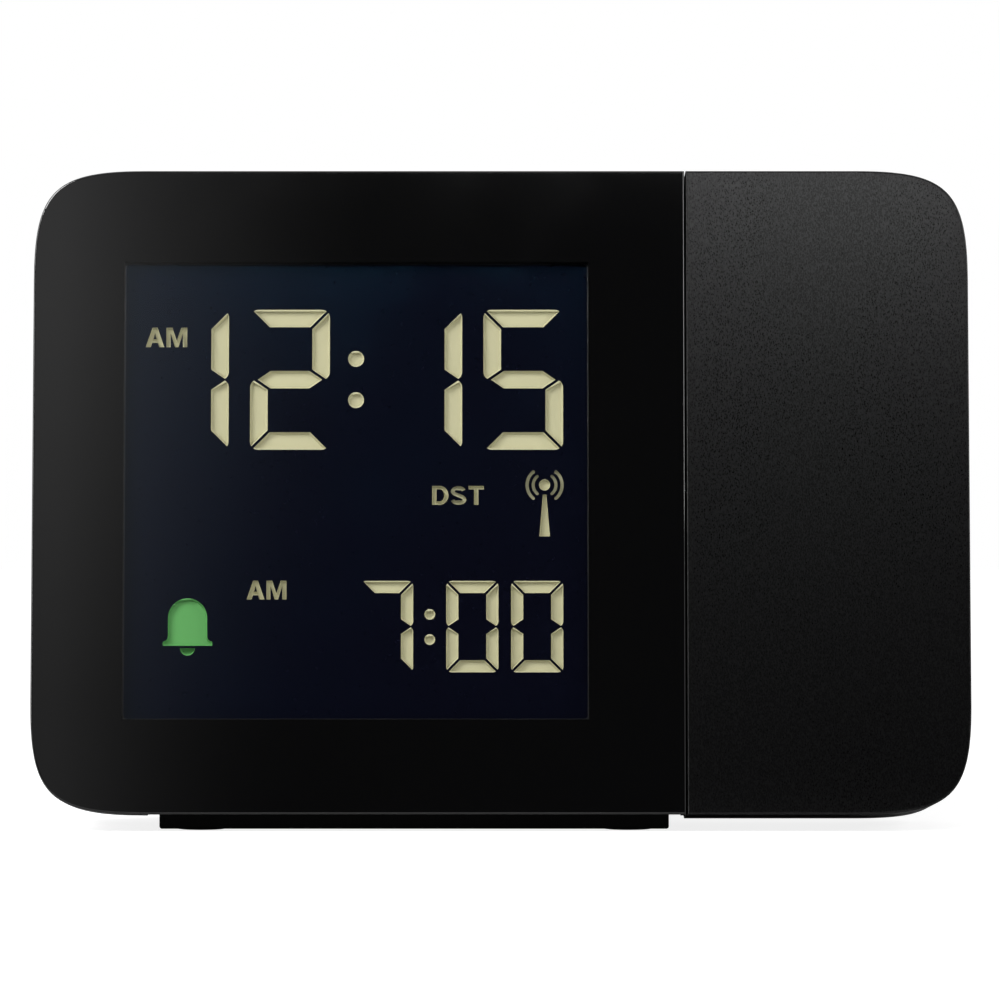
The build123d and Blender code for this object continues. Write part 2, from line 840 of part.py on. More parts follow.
# ---------------------------------------------------------------- snooze bar
def snooze_bar():
    cap = side_prism(rear_step - bar_proud, case_depth) - side_prism(bar_seat, inner_back)
    cap &= bar_plan(0, pivot_height, face_height + 2 * past)
    foot = side_prism(bar_seat, inner_back) - side_prism(bar_seat + bar_flange_thickness, inner_back)
    foot &= bar_plan(bar_flange, pivot_height, face_height + 2 * past)
    plunger = rod_z(plunger_radius, bar_x, plunger_depth, plunger_bottom, face_height - bar_seat - 0.5)
    return one(cap + foot + plunger)


def snooze_stem():
    """The moving stem of the snooze switch, under the bar's plunger."""
    return rod_z(stem_radius, bar_x, plunger_depth, snooze_switch_top - stem_sink, plunger_bottom)


def snooze_switch():
    reach = snooze_switch_width / 2
    switch = block(bar_x - reach, bar_x + reach, board_back, board_back + snooze_switch_depth,
                   snooze_switch_top - snooze_switch_height, snooze_switch_top)
    bore_bottom = snooze_switch_top - stem_sink - bar_travel - bar_gap
    return switch - rod_z(stem_radius + running_gap, bar_x, plunger_depth, bore_bottom, snooze_switch_top)


# ---------------------------------------------------------------- batteries
def battery(z, nub_side):
    """A battery lying along X, its nub towards nub_side."""
    middle = (bay_left + bay_right) / 2
    half = (cell_length + nub_length) / 2
    flat_end = middle - nub_side * half
    shoulder = flat_end + nub_side * cell_length
    tip = shoulder + nub_side * nub_length
    can = rod_x(cell_radius, min(flat_end, shoulder), max(flat_end, shoulder), cell_depth, z)
    nub = rod_x(nub_radius, min(shoulder, tip), max(shoulder, tip), cell_depth, z)
    return one(can + nub)


def contact(wall_x, side, z):
    """A battery contact: a strip bent to a hat, whose crown presses on the battery."""
    thickness = contact_thickness
    reach = contact_room
    profile = [
        (0, -contact_foot), (thickness, -contact_foot), (thickness, -contact_bend),
        (reach, -contact_crown), (reach, contact_crown),
        (thickness, contact_bend), (thickness, contact_foot), (0, contact_foot),
        (0, contact_bend - thickness), (reach - thickness, contact_crown - thickness),
        (reach - thickness, thickness - contact_crown), (0, thickness - contact_bend),
    ]
    points = [(wall_x + side * x, cell_depth + y, z - contact_width / 2) for x, y in profile]
    return extrude(make_face(Polyline(*points, close=True)), amount=contact_width, dir=(0, 0, 1))


def battery_contacts():
    contacts = []
    for z in (lower_cell_z, upper_cell_z):
        contacts.append(one(contact(bay_left, 1, z)))
        contacts.append(one(contact(bay_right, -1, z)))
    return Compound(children=contacts)


def hook_neck(x):
    """The flat neck that joins the door to one of its two hooks."""
    return block(x - hook_neck_width / 2, x + hook_neck_width / 2,
                 hook_depth - hook_radius, hook_depth + hook_radius, hook_z, door_bottom)


def hook_socket(x):
    """The room for a hook and, open to the back, for its neck as the door swings."""
    reach = hook_length / 2 + door_gap
    socket = rod_x(hook_radius + key_gap, x - reach, x + reach, hook_depth, hook_z)
    reach = hook_neck_width / 2 + door_gap
    return socket + block(x - reach, x + reach, hook_depth - hook_radius - key_gap, case_depth + past,
                          hook_z - hook_radius - key_gap, door_bottom)


def battery_door():
    door = block(door_left, door_right, door_inside, case_depth, door_bottom, door_top)
    for x in hook_places:
        door += hook_neck(x)
        door += rod_x(hook_radius, x - hook_length / 2, x + hook_length / 2, hook_depth, hook_z)
    return one(door)


# ---------------------------------------------------------------- sound, radio and power
def buzzer():
    can = rod_y(buzzer_radius, buzzer_x, inner_back - buzzer_height, inner_back, buzzer_z)
    mouth = rod_y(buzzer_mouth, buzzer_x, inner_back - buzzer_mouth_depth, inner_back + past, buzzer_z)
    return one(can - mouth)


def antenna_rod():
    return rod_x(rod_radius, rod_left, rod_right, rod_depth, rod_height)


def antenna_coil():
    middle = (rod_left + rod_right) / 2
    coil = rod_x(coil_radius, middle - coil_length / 2, middle + coil_length / 2, rod_depth, rod_height)
    return one(coil - antenna_rod())


def antenna_holders():
    """Two saddles on the main board that the antenna rod snaps into."""
    holders = []
    for x in (rod_left + holder_inset, rod_right - holder_inset):
        saddle = block(x - holder_width / 2, x + holder_width / 2, board_back, rod_depth + holder_lip,
                       rod_height - rod_radius - holder_lip, rod_height + rod_radius + holder_lip)
        holders.append(one(saddle - antenna_rod()))
    return Compound(children=holders)


def dc_jack():
    """The power socket, with its centre pin at the bottom of the bore."""
    rear = case_depth - jack_recess
    body = rounded_y(jack_x, jack_z, jack_width, jack_height, jack_corner, board_back, rear)
    body -= rod_y(jack_bore_radius, jack_x, rear - jack_bore_depth, rear + past, jack_z)
    return one(body + rod_y(jack_pin_radius, jack_x, rear - jack_bore_depth, rear - jack_pin_recess, jack_z))


# ---------------------------------------------------------------- the arm's shaft
def arm_shaft():
    shaft = rod_x(shaft_radius, shaft_left, shaft_right, pivot_depth, pivot_height)
    half = flange_size / 2
    shaft += block(flange_left, flange_right, pivot_depth - half, pivot_depth + half,
                   pivot_height - half, pivot_height + half)
    groove = rod_x(shaft_radius + past, clip_end - clip_thickness, clip_end, pivot_depth, pivot_height)
    groove -= rod_x(groove_radius, clip_end - clip_thickness, clip_end, pivot_depth, pivot_height)
    shaft -= groove
    return one(shaft - rod_x(shaft_bore_radius, shaft_left, shaft_right, pivot_depth, pivot_height))


def shaft_clip():
    """The open spring clip in the shaft's groove."""
    clip = rod_x(clip_radius, clip_end - clip_thickness, clip_end, pivot_depth, pivot_height)
    clip -= rod_x(groove_radius, clip_end - clip_thickness, clip_end, pivot_depth, pivot_height)
    return one(clip - block(clip_end - clip_thickness - past, clip_end + past,
                            pivot_depth, pivot_depth + clip_radius + past,
                            pivot_height - clip_mouth / 2, pivot_height + clip_mouth / 2))


def friction_washer():
    """The washer between the clip and the bearing, whose drag holds the arm where it is put."""
    washer = rod_x(bearing_radius, washer_end, bearing_end, pivot_depth, pivot_height)
    return one(washer - rod_x(shaft_radius + running_gap, washer_end, bearing_end, pivot_depth, pivot_height))


# ---------------------------------------------------------------- arm shells
def tube_cutter():
    return rod_z(tube_radius, lens_x, lens_depth, tube_bottom, tube_top)


def cradle_rib(z, bore, y0, y1):
    """A rib of an arm shell, hollowed round the lens axis."""
    rib = block(lens_x - rib_reach, lens_x + rib_reach, y0, y1, z, z + rib_thickness)
    return rib - rod_z(bore, lens_x, lens_depth, z - past, z + rib_thickness + past)


def arm_ribs(y0, y1):
    """The ribs that hold the lamp tube, the focus wheel and the shaft's square flange."""
    ribs = [cradle_rib(z, tube_radius, y0, y1) for z in tube_rib_heights]
    ribs.append(cradle_rib(wheel_top + wheel_gap, barrel_radius + slot_gap, y0, y1))
    clamp = block(flange_right, flange_right + clamp_thickness, y0, y1,
                  pivot_height - clamp_height / 2, pivot_height + clamp_height / 2)
    ribs.append(clamp - rod_x(shaft_radius, flange_left, shaft_right, pivot_depth, pivot_height))
    return ribs


def ring_hole():
    """The hole in the arm's end for the lens ring."""
    return rod_z(ring_radius, lens_x, lens_depth, ring_bottom - past, face_height + past)


def arm_front_shell():
    shell = case_part(0, arm_x, 0, pivot_depth, case_depth)
    shell = round_front_edges(shell)
    shell -= case_part(wall, (seam_right + wall, half_width), wall, pivot_depth, inner_back)
    for x, z in arm_boss_places:
        shell += rod_y(boss_radius, x, wall, pivot_depth, z)
    for rib in arm_ribs(wall, pivot_depth):
        shell += rib
    shell -= rod_x(shaft_radius, seam_right - past, flange_left + past, pivot_depth, pivot_height)
    for hole in boss_wells(arm_boss_places):
        shell -= hole
    return one(shell - ring_hole())


def arm_rear_shell():
    shell = case_part(0, arm_x, pivot_depth, case_depth, case_depth)
    shell -= case_part(wall, (seam_right + wall, half_width), pivot_depth, inner_back, inner_back)
    for x, z in arm_boss_places:
        shell += rod_y(boss_radius, x, pivot_depth, inner_back, z)
    for rib in arm_ribs(pivot_depth, inner_back):
        shell += rib
    for post in board_posts(arm_board_left, arm_board_right, arm_board_bottom, arm_board_top):
        shell += post
    shell -= rod_x(shaft_radius, seam_right - past, flange_left + past, pivot_depth, pivot_height)
    for hole in boss_wells(arm_boss_places):
        shell -= hole
    shell -= ring_hole()
    slot_reach = math.sqrt(wheel_radius**2 - (inner_back - lens_depth)**2) + slot_gap
    shell -= block(lens_x - slot_reach, lens_x + slot_reach, lens_depth, case_depth + past,
                   wheel_bottom - slot_gap, wheel_top + slot_gap) \
        - block(lens_x - slot_reach, lens_x + slot_reach, lens_depth, inner_back,
                wheel_bottom - slot_gap, wheel_top + slot_gap)
    shell -= key_hole(flip_key_x, flip_key_z)
    shell -= slider_hole(arm_slider_x, arm_slider_z)
    return one(shell)


# ---------------------------------------------------------------- projector
def lamp_tube():
    """The tube that holds the lamp, the lenses and, in its upper bore, the focus barrel."""
    tube = tube_cutter()
    tube -= rod_z(lamp_bore_radius, lens_x, lens_depth, tube_bottom, tube_shoulder)
    tube -= rod_z(barrel_radius + running_gap, lens_x, lens_depth, tube_shoulder, tube_top)
    half = key_rib_width / 2 + key_gap
    return one(tube - block(lens_x - half, lens_x + half,
                            lens_depth - barrel_radius - key_rib_proud - key_gap, lens_depth,
                            barrel_bottom - focus_travel - key_gap, tube_top))


def lamp_board():
    return rod_z(lamp_board_radius, lens_x, lens_depth, tube_bottom - lamp_board_thickness, tube_bottom)


def projector_lamp():
    half = lamp_size / 2
    base = block(lens_x - half, lens_x + half, lens_depth - half, lens_depth + half,
                 tube_bottom, tube_bottom + lamp_height)
    dome = Pos(lens_x, lens_depth, tube_bottom + lamp_height) * Sphere(lamp_dome_radius)
    return one(base + dome)


def domed_disc(radius, z, edge, bulge):
    """A lens, flat underneath and domed on top."""
    sphere_radius = (radius**2 + bulge**2) / (2 * bulge)
    disc = rod_z(radius, lens_x, lens_depth, z, z + edge + bulge)
    ball = Pos(lens_x, lens_depth, z + edge + bulge - sphere_radius) * Sphere(sphere_radius)
    return one(disc & ball)


def condenser_lens():
    return domed_disc(lamp_bore_radius, condenser_bottom, condenser_edge, condenser_bulge)


def projector_lcd():
    half = slide_lcd_size / 2
    return block(lens_x - half, lens_x + half, lens_depth - half, lens_depth + half,
                 tube_shoulder, tube_shoulder + slide_lcd_thickness)


def focus_wheel():
    wheel = rod_z(wheel_radius, lens_x, lens_depth, wheel_bottom, wheel_top)
    grooves = []
    for index in range(wheel_ribs):
        angle = 2 * math.pi * index / wheel_ribs
        grooves.append(rod_z(wheel_rib_depth, lens_x + wheel_radius * math.cos(angle),
                             lens_depth + wheel_radius * math.sin(angle), wheel_bottom, wheel_top))
    wheel -= grooves
    return one(wheel - rod_z(barrel_radius + running_gap, lens_x, lens_depth, wheel_bottom, wheel_top))


def focus_barrel():
    barrel = rod_z(barrel_radius, lens_x, lens_depth, barrel_bottom, barrel_top)
    half = key_rib_width / 2
    barrel += block(lens_x - half, lens_x + half, lens_depth - barrel_radius - key_rib_proud,
                    lens_depth - barrel_bore_radius, barrel_bottom, barrel_bottom + key_rib_length)
    barrel -= rod_z(barrel_bore_radius, lens_x, lens_depth, barrel_bottom, lens_seat)
    return one(barrel - rod_z(lens_radius, lens_x, lens_depth, lens_seat, barrel_top))


def projection_lens():
    return domed_disc(lens_radius, lens_seat, lens_edge, lens_bulge)


def lens_ring():
    """The trim ring in the arm's end, its top just under the arm's curved surface."""
    ring = rod_z(ring_radius, lens_x, lens_depth, ring_bottom, face_height + past)
    ring -= rod_z(ring_bore_radius, lens_x, lens_depth, ring_bottom, face_height + past)
    return one(ring & side_prism(ring_sink, case_depth))


def arm_board():
    return block(arm_board_left, arm_board_right, key_board_depth, key_board_back,
                 arm_board_bottom, arm_board_top)


# ---------------------------------------------------------------- wires
def cable(points):
    """A bundle of wires along straight runs joined by tangent arcs."""
    runs = [Vector(*end) - Vector(*start) for start, end in zip(points, points[1:])]
    radii = []
    for first, second in zip(runs, runs[1:]):
        half_turn = math.radians(first.get_angle(second)) / 2
        radii.append(0.45 * min(first.length, second.length) / math.tan(half_turn))
    route = FilletPolyline(*points, radius=radii)
    section = Plane(origin=route @ 0, z_dir=route % 0) * Circle(wire_radius)
    return one(sweep(section, path=route))


def body_wires():
    return cable([
        (body_wire_x, board_back + wire_radius, pivot_height + body_wire_rise),
        (knee_x, board_back + knee_lift, pivot_height + knee_rise),
        (shaft_left + wire_entry, pivot_depth, pivot_height),
        (seam_x, pivot_depth, pivot_height),
    ])


def arm_wires():
    return cable([
        (seam_x, pivot_depth, pivot_height),
        (shaft_right + wire_exit, pivot_depth, pivot_height),
        (arm_wire_x, pivot_depth + arm_wire_back, pivot_height - arm_wire_fall),
        (arm_knee_x, key_board_depth - arm_knee_lift, arm_board_top - arm_knee_drop),
        (arm_end_x, key_board_depth - wire_radius, arm_board_top - arm_end_drop),
    ])


# ---------------------------------------------------------------- foot
def unlean(y, z):
    """A point seen from the side, its height counted from the foot's underside, as the upright
    case's frame has it."""
    angle = math.radians(lean_angle)
    z -= foot_lift
    return (y * math.cos(angle) - z * math.sin(angle), y * math.sin(angle) + z * math.cos(angle))


def foot_blank():
    """The foot before the case is cut from it: flat underneath, sloping down behind the case."""
    outline = [(foot_front, 0), (foot_rear, 0), (foot_rear, foot_rear_thickness),
               (foot_rear - foot_slope_depth, foot_heel_height), (foot_front, foot_heel_height)]
    points = [(foot_left, *unlean(y, z)) for y, z in outline]
    side = make_face(Polyline(*points, close=True))
    blank = extrude(side, amount=foot_right - foot_left, dir=(1, 0, 0))
    underside = blank.faces().sort_by(Axis.Z)[0]
    return fillet(underside.edges(), foot_edge_round)


def foot_base():
    """The foot, seated in its recess and against the case's underside and back."""
    foot = foot_blank()
    foot -= case_part(rear_step, body_x, frame_front, case_depth, case_depth) - foot_recess()
    foot -= block(*body_x, -past, case_depth, foot_heel_height, face_height)
    for x in foot_screw_places:
        foot -= rod_z(foot_screw_radius + key_gap, x, foot_screw_depth, -foot_lift - past, foot_boss_top)
        foot -= rod_z(foot_head_radius + key_gap, x, foot_screw_depth, -foot_lift - past, foot_head_top)
    foot = one(foot)
    for x, y in pad_places:
        foot -= unstand(rod_z(pad_radius, x, y, 0, pad_proud + pad_sink))
    return one(foot)


def foot_screws():
    screws = []
    for x in foot_screw_places:
        head = rod_z(foot_head_radius, x, foot_screw_depth, foot_head_top - foot_head_height, foot_head_top)
        tip = foot_head_top + foot_screw_length
        shank = rod_z(foot_screw_radius, x, foot_screw_depth, foot_head_top, tip)
        cross = rod_z(cross_radius, x, foot_screw_depth,
                      foot_head_top - foot_head_height, foot_head_top - foot_head_height / 2)
        screws.append(one(head + shank - cross))
    return Compound(children=screws)


def foot_pads():
    pads = [one(unstand(rod_z(pad_radius, x, y, 0, pad_proud + pad_sink))) for x, y in pad_places]
    return Compound(children=pads)


# ---------------------------------------------------------------- the whole clock
def pieces():
    """Every node of the clock by its name, upright in the case's frame."""
    nodes = {
        "front_window": window(),
        "window_mask": mask(),
        "front_frame": front_frame(),
        "rear_housing": rear_housing(),
        "body_screws": shell_screws(body_boss_places),
        "lcd_cell": lcd_cell(),
        "lcd_frame": lcd_frame(),
        "light_guide": light_guide(),
        "reflector_sheet": reflector_sheet(),
        "backlight_lamps": backlight_lamps(),
        "contact_strip": contact_strip(),
        "main_board": main_board(),
        "display_driver": display_driver(),
        "clock_crystal": clock_crystal(),
        "board_link": board_link(),
        "key_board": key_board(),
        "rear_key_mat": key_mat(key_row),
        "alarm_slider": slider(slider_x, key_row_height),
        "alarm_switch": slide_switch(slider_x, key_row_height),
        "snooze_bar": snooze_bar(),
        "snooze_stem": snooze_stem(),
        "snooze_switch": snooze_switch(),
        "batteries": Compound(children=[battery(lower_cell_z, -1), battery(upper_cell_z, 1)]),
        "battery_contacts": battery_contacts(),
        "battery_door": battery_door(),
        "buzzer": buzzer(),
        "antenna_rod": antenna_rod(),
        "antenna_coil": antenna_coil(),
        "antenna_holders": antenna_holders(),
        "dc_jack": dc_jack(),
        "body_wires": body_wires(),
        "arm_shaft": arm_shaft(),
        "shaft_clip": shaft_clip(),
        "friction_washer": friction_washer(),
        "arm_front_shell": arm_front_shell(),
        "arm_rear_shell": arm_rear_shell(),
        "arm_screws": shell_screws(arm_boss_places),
        "lamp_tube": lamp_tube(),
        "lamp_board": lamp_board(),
        "projector_lamp": projector_lamp(),
        "condenser_lens": condenser_lens(),
        "projector_lcd": projector_lcd(),
        "focus_wheel": focus_wheel(),
        "focus_barrel": focus_barrel(),
        "projection_lens": projection_lens(),
        "lens_ring": lens_ring(),
        "arm_board": arm_board(),
        "flip_key": key(flip_key_x, flip_key_z),
        "flip_key_mat": key_mat([(flip_key_x, flip_key_z)]),
        "projector_slider": slider(arm_slider_x, arm_slider_z),
        "projector_switch": slide_switch(arm_slider_x, arm_slider_z),
        "arm_wires": arm_wires(),
        "foot_base": foot_base(),
        "foot_screws": foot_screws(),
        "foot_pads": foot_pads(),
    }
    for name, (x, z) in zip(key_names, key_row):
        nodes[name] = key(x, z)
    return nodes


def main():
    os.makedirs("parts", exist_ok=True)
    for name, shape in pieces().items():
        export_step(stand(shape), f"parts/{name}.step")


if __name__ == "__main__":
    main()
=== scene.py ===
"""Looks of a projection alarm clock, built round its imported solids.

The clock's own parts are described upright, in millimetres: X to the right from the middle of
the case, Y rearward from its front face, Z up from its front bottom edge. stand() leans them
back onto the foot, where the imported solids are.
"""

import json
import math

import bmesh
import bpy
from bpy.props import FloatProperty, FloatVectorProperty, IntProperty, PointerProperty
from mathutils import Matrix, Vector

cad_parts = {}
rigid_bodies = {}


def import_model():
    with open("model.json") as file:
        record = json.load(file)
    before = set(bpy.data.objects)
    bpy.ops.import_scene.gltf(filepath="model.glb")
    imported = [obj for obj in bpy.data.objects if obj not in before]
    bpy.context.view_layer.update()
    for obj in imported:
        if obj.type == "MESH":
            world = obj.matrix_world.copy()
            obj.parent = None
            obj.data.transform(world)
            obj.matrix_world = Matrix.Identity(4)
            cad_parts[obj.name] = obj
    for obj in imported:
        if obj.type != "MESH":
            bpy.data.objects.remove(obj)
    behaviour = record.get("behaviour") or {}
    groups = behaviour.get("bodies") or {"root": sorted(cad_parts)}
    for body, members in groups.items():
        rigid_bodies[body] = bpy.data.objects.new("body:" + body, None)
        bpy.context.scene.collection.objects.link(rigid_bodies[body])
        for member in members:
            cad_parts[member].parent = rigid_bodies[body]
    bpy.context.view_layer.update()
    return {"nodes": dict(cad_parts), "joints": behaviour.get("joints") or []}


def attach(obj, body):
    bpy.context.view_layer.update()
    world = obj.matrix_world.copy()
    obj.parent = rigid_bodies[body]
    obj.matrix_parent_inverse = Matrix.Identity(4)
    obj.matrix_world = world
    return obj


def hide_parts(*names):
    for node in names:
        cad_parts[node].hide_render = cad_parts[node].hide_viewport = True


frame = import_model()

bl_info = {
    "name": "Projection alarm clock",
    "version": (1, 0, 0),
    "blender": (4, 5, 0),
    "location": "View3D > Sidebar > Clock",
    "description": "Dresses the solids of a projection alarm clock and sets its studio",
    "category": "Add Mesh",
}

MM = 0.001
JOINTS = {joint["name"]: joint for joint in frame["joints"]}
UP = Vector(JOINTS["focus_turn"]["axis"])
BACK = Vector((0, UP.z, -UP.y))
ARM_AXIS = Vector((0, 8.0, 48.25)) * MM        # of the arm, in the upright clock
HINGE = Vector(JOINTS["arm_turn"]["pos_m"])
ORIGIN = Vector((0, HINGE.y, HINGE.z)) - BACK * ARM_AXIS.y - UP * ARM_AXIS.z
STAND = Matrix.Translation(ORIGIN) @ Matrix(((1, 0, 0), BACK, UP)).transposed().to_4x4()

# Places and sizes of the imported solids, in the upright clock.
OPENING = (-56.4 * MM, 13.1 * MM, 14.1 * MM, 82.7 * MM)     # display's left, right, bottom and top
OPENING_ROUND = 0.75 * MM                      # radius of its corners
EDGE_FRONT = 1.64 * MM                         # depth where the line round the display starts
MASK_BACK = 1.8 * MM                           # depth of the back of the panel's print
CELL_FRONT = 3.3 * MM                          # depth of the display's front
BELL_PLACE = (-46.76 * MM, 25.17 * MM)         # X and Z of the middle of the alarm bell's rim
SEAM_WALL = 27.9 * MM                          # X that the arm's wall along the seam is left of
SEAM_LIP = 0.5 * MM                            # depth where that wall starts
CASE_BACK = 28.0 * MM
KEY_TOP = 28.6 * MM
CELLS_MIDDLE = (-19.55 * MM, 28.1 * MM)        # X and Z of the middle of the two cells
CELL_SLEEVE = 43.0 * MM                        # length of a cell's sleeve
BAND_START = 10.5 * MM                         # from there to its plus end it is copper-coloured
WIRE_PITCH = 0.28 * MM                         # from turn to turn of the antenna's coil
NEAR_GLOW = 0.84                               # strength of the table's glow near the clock


# ---------------------------------------------------------------- settings
def length(name, text, default):
    return FloatProperty(name=name, description=text, default=default, min=0.0, subtype="DISTANCE",
                         unit="LENGTH", precision=5)


def colour(name, text, default):
    return FloatVectorProperty(name=name, description=text, default=default, size=3, min=0.0, max=1.0,
                               subtype="COLOR")


def number(name, text, default):
    return FloatProperty(name=name, description=text, default=default, min=0.0)


class DisplaySizes(bpy.types.PropertyGroup):
    field_thickness: length("Field thickness", "Dark layer that the digits are cut from", 0.00066)
    well_slope: length("Well slope", "Width of the sloping edge round each digit's floor", 0.00030)
    field_margin: length("Field margin", "Reach of the dark layer past the display's opening", 0.0006)
    time_width: length("Time digit width", "Width of the large digits", 0.01194)
    time_height: length("Time digit height", "Height of the large digits", 0.02112)
    time_stroke: length("Time digit stroke", "Stroke of the large digits", 0.00264)
    alarm_width: length("Alarm digit width", "Width of the small digits", 0.00780)
    alarm_height: length("Alarm digit height", "Height of the small digits", 0.01368)
    alarm_stroke: length("Alarm digit stroke", "Stroke of the small digits", 0.00182)
    segment_gap: length("Segment gap", "Between neighbouring segments", 0.00040)
    edge_line: length("Edge line", "Width of the line round the display", 0.00016)


class FittingSizes(bpy.types.PropertyGroup):
    wheel_ribs: IntProperty(name="Wheel ribs", description="Ribs round the focus wheel", default=60, min=12)
    wheel_rib_height: length("Wheel rib height", "Depth of the focus wheel's ribbing", 0.00038)
    cross_width: length("Cross width", "Slot width of a screw's cross recess", 0.00052)
    cross_length: length("Cross length", "Length of a screw's cross recess", 0.0026)
    cross_depth: length("Cross depth", "Depth of a screw's cross recess", 0.0009)
    grip_bars: IntProperty(name="Grip bars", description="Ribs on the battery door", default=6, min=1)
    grip_bar_length: length("Grip bar length", "Length of a rib on the battery door", 0.013)
    grip_bar_width: length("Grip bar width", "Width of a rib on the battery door", 0.0009)
    mark_relief: length("Mark relief", "How far the printed marks stand off", 0.00004)


class ClockColours(bpy.types.PropertyGroup):
    panel: colour("Panel", "Black behind the front panel", (0.0019, 0.0019, 0.0020))
    case: colour("Case", "Satin plastic of the case", (0.0026, 0.0026, 0.0028))
    foot: colour("Foot", "Dull plastic of the foot", (0.0012, 0.0012, 0.0012))
    arm: colour("Arm", "Matte plastic of the projector arm", (0.0009, 0.0009, 0.0010))
    keys: colour("Keys", "Satin plastic of keys and knobs", (0.0140, 0.0140, 0.0145))
    field: colour("Display field", "Dark layer of the display", (0.0021, 0.0023, 0.0056))
    digits: colour("Digits", "Pale layer under the digits", (0.385, 0.370, 0.232))
    bell: colour("Bell", "Green layer under the alarm's bell", (0.073, 0.25, 0.068))
    marks: colour("Marks", "Print on the rear keys", (0.42, 0.42, 0.43))


class StudioSettings(bpy.types.PropertyGroup):
    camera_distance: length("Camera distance", "From the camera to the clock's middle plane", 0.820)
    camera_side: FloatProperty(name="Camera side", description="Camera's place to the right of the middle",
                               default=-0.00013, subtype="DISTANCE", unit="LENGTH", precision=5)
    camera_height: length("Camera height", "Above the table", 0.04935)
    focal_length: number("Focal length", "In millimetres on a 36 mm sensor", 194.1)
    world_light: number("Room light", "Even light from all round", 0.18)
    top_light: number("Top light", "Power of the strip over the front, in watts", 0.350)
    side_light: number("Side light", "Power of the lamp at the upper left, in watts", 9.0)
    edge_light: number("Edge light", "Power of the strips that draw the upright edges, in watts", 1.20)
    left_card: number("Left card", "Brightness of the card that the panel mirrors", 0.75)


SETTINGS = {
    "clock_display": DisplaySizes,
    "clock_fittings": FittingSizes,
    "clock_colours": ClockColours,
    "clock_studio": StudioSettings,
}


# ---------------------------------------------------------------- meshes and pieces
def stand(mesh):
    """Moves a mesh drawn in the upright clock to where the clock stands."""
    mesh.transform(STAND)
    return mesh


def linked(name, data):
    """A new object of some data, in the scene."""
    obj = bpy.data.objects.new(name, data)
    bpy.context.scene.collection.objects.link(obj)
    return obj


def clean(mesh, gap=1e-7, closed=True):
    """Joins a mesh's doubled points. If it is closed, its faces without area are also taken out and
    the others turned outwards."""
    bm = bmesh.new()
    bm.from_mesh(mesh)
    bmesh.ops.remove_doubles(bm, verts=bm.verts, dist=gap)
    if closed:
        bmesh.ops.dissolve_degenerate(bm, edges=bm.edges, dist=gap)
        bmesh.ops.recalc_face_normals(bm, faces=bm.faces)
    bm.to_mesh(mesh)
    bm.free()
    return mesh


def add_piece(name, mesh, material, body, replaced=()):
    """Makes an object of a mesh that already stands in place, and says which body carries it."""
    mesh.materials.clear()
    mesh.materials.append(material)
    obj = linked(name, mesh)
    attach(obj, body)
    if replaced:
        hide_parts(*replaced)


def evaluated_mesh(obj):
    """The plain mesh of an object with its modifiers, and the object removed."""
    graph = bpy.context.evaluated_depsgraph_get()
    mesh = bpy.data.meshes.new_from_object(obj.evaluated_get(graph))
    bpy.data.objects.remove(obj)
    return mesh


def flat_sheet_mesh(loops, half_thickness=0.0):
    """The area inside the loops in the XY plane; a loop inside another is a hole in it."""
    curve = bpy.data.curves.new("flat", "CURVE")
    curve.dimensions = "2D"
    curve.fill_mode = "BOTH"
    curve.extrude = half_thickness
    for loop in loops:
        spline = curve.splines.new("POLY")
        spline.points.add(len(loop) - 1)
        for point, (x, z) in zip(spline.points, loop):
            point.co = (x, z, 0, 1)
        spline.use_cyclic_u = True
    mesh = evaluated_mesh(linked("flat", curve))
    bpy.data.curves.remove(curve)
    return clean(mesh, closed=False)


def flat_mesh(loops, front, back):
    """A plate in the front view from depth front to back, cut to the loops."""
    mesh = flat_sheet_mesh(loops, (back - front) / 2)
    mesh.transform(Matrix.Translation((0, (front + back) / 2, 0)) @ Matrix.Rotation(math.pi / 2, 4, "X"))
    return stand(clean(mesh))


def well_rims(pairs, front, floor):
    """The sloping edges of wells: rings that fall from each outer loop at the front to the inner
    loop on the floor, each a wedge in section."""
    bm = bmesh.new()
    for outers, inners in pairs:
        inner_points = {(round(x, 7), round(z, 7)) for loop in inners for x, z in loop}
        sheet = flat_sheet_mesh(outers + inners)
        upper, lower = {}, {}
        for vert in sheet.vertices:
            x, z = vert.co.x, vert.co.y
            if (round(x, 7), round(z, 7)) in inner_points:
                upper[vert.index] = lower[vert.index] = bm.verts.new((x, floor, z))
            else:
                upper[vert.index] = bm.verts.new((x, front, z))
                lower[vert.index] = bm.verts.new((x, floor, z))
        uses = {}
        for face in sheet.polygons:
            corners = list(face.vertices)
            if any(upper[index] is not lower[index] for index in corners):
                bm.faces.new([upper[index] for index in corners])
                bm.faces.new([lower[index] for index in corners[::-1]])
            for edge in zip(corners, corners[1:] + corners[:1]):
                key = tuple(sorted(edge))
                uses[key] = uses.get(key, 0) + 1
        for (first, second), count in uses.items():
            if count == 1 and upper[first] is not lower[first] and upper[second] is not lower[second]:
                bm.faces.new((upper[first], upper[second], lower[second], lower[first]))
        bpy.data.meshes.remove(sheet)
    bmesh.ops.recalc_face_normals(bm, faces=bm.faces)
    mesh = bpy.data.meshes.new("rims")
    bm.to_mesh(mesh)
    bm.free()
    return stand(mesh)


# ---------------------------------------------------------------- outlines in the front view
def clip(points, through, normal):
    """Keeps the part of a polygon on the side of a line that the normal points to."""
    kept = []
    for (ax, az), (bx, bz) in zip(points, points[1:] + points[:1]):
        a = (ax - through[0]) * normal[0] + (az - through[1]) * normal[1]
        b = (bx - through[0]) * normal[0] + (bz - through[1]) * normal[1]
        if a >= 0:
            kept.append((ax, az))
        if a * b < 0:
            share = a / (a - b)
            kept.append((ax + (bx - ax) * share, az + (bz - az) * share))
    return kept


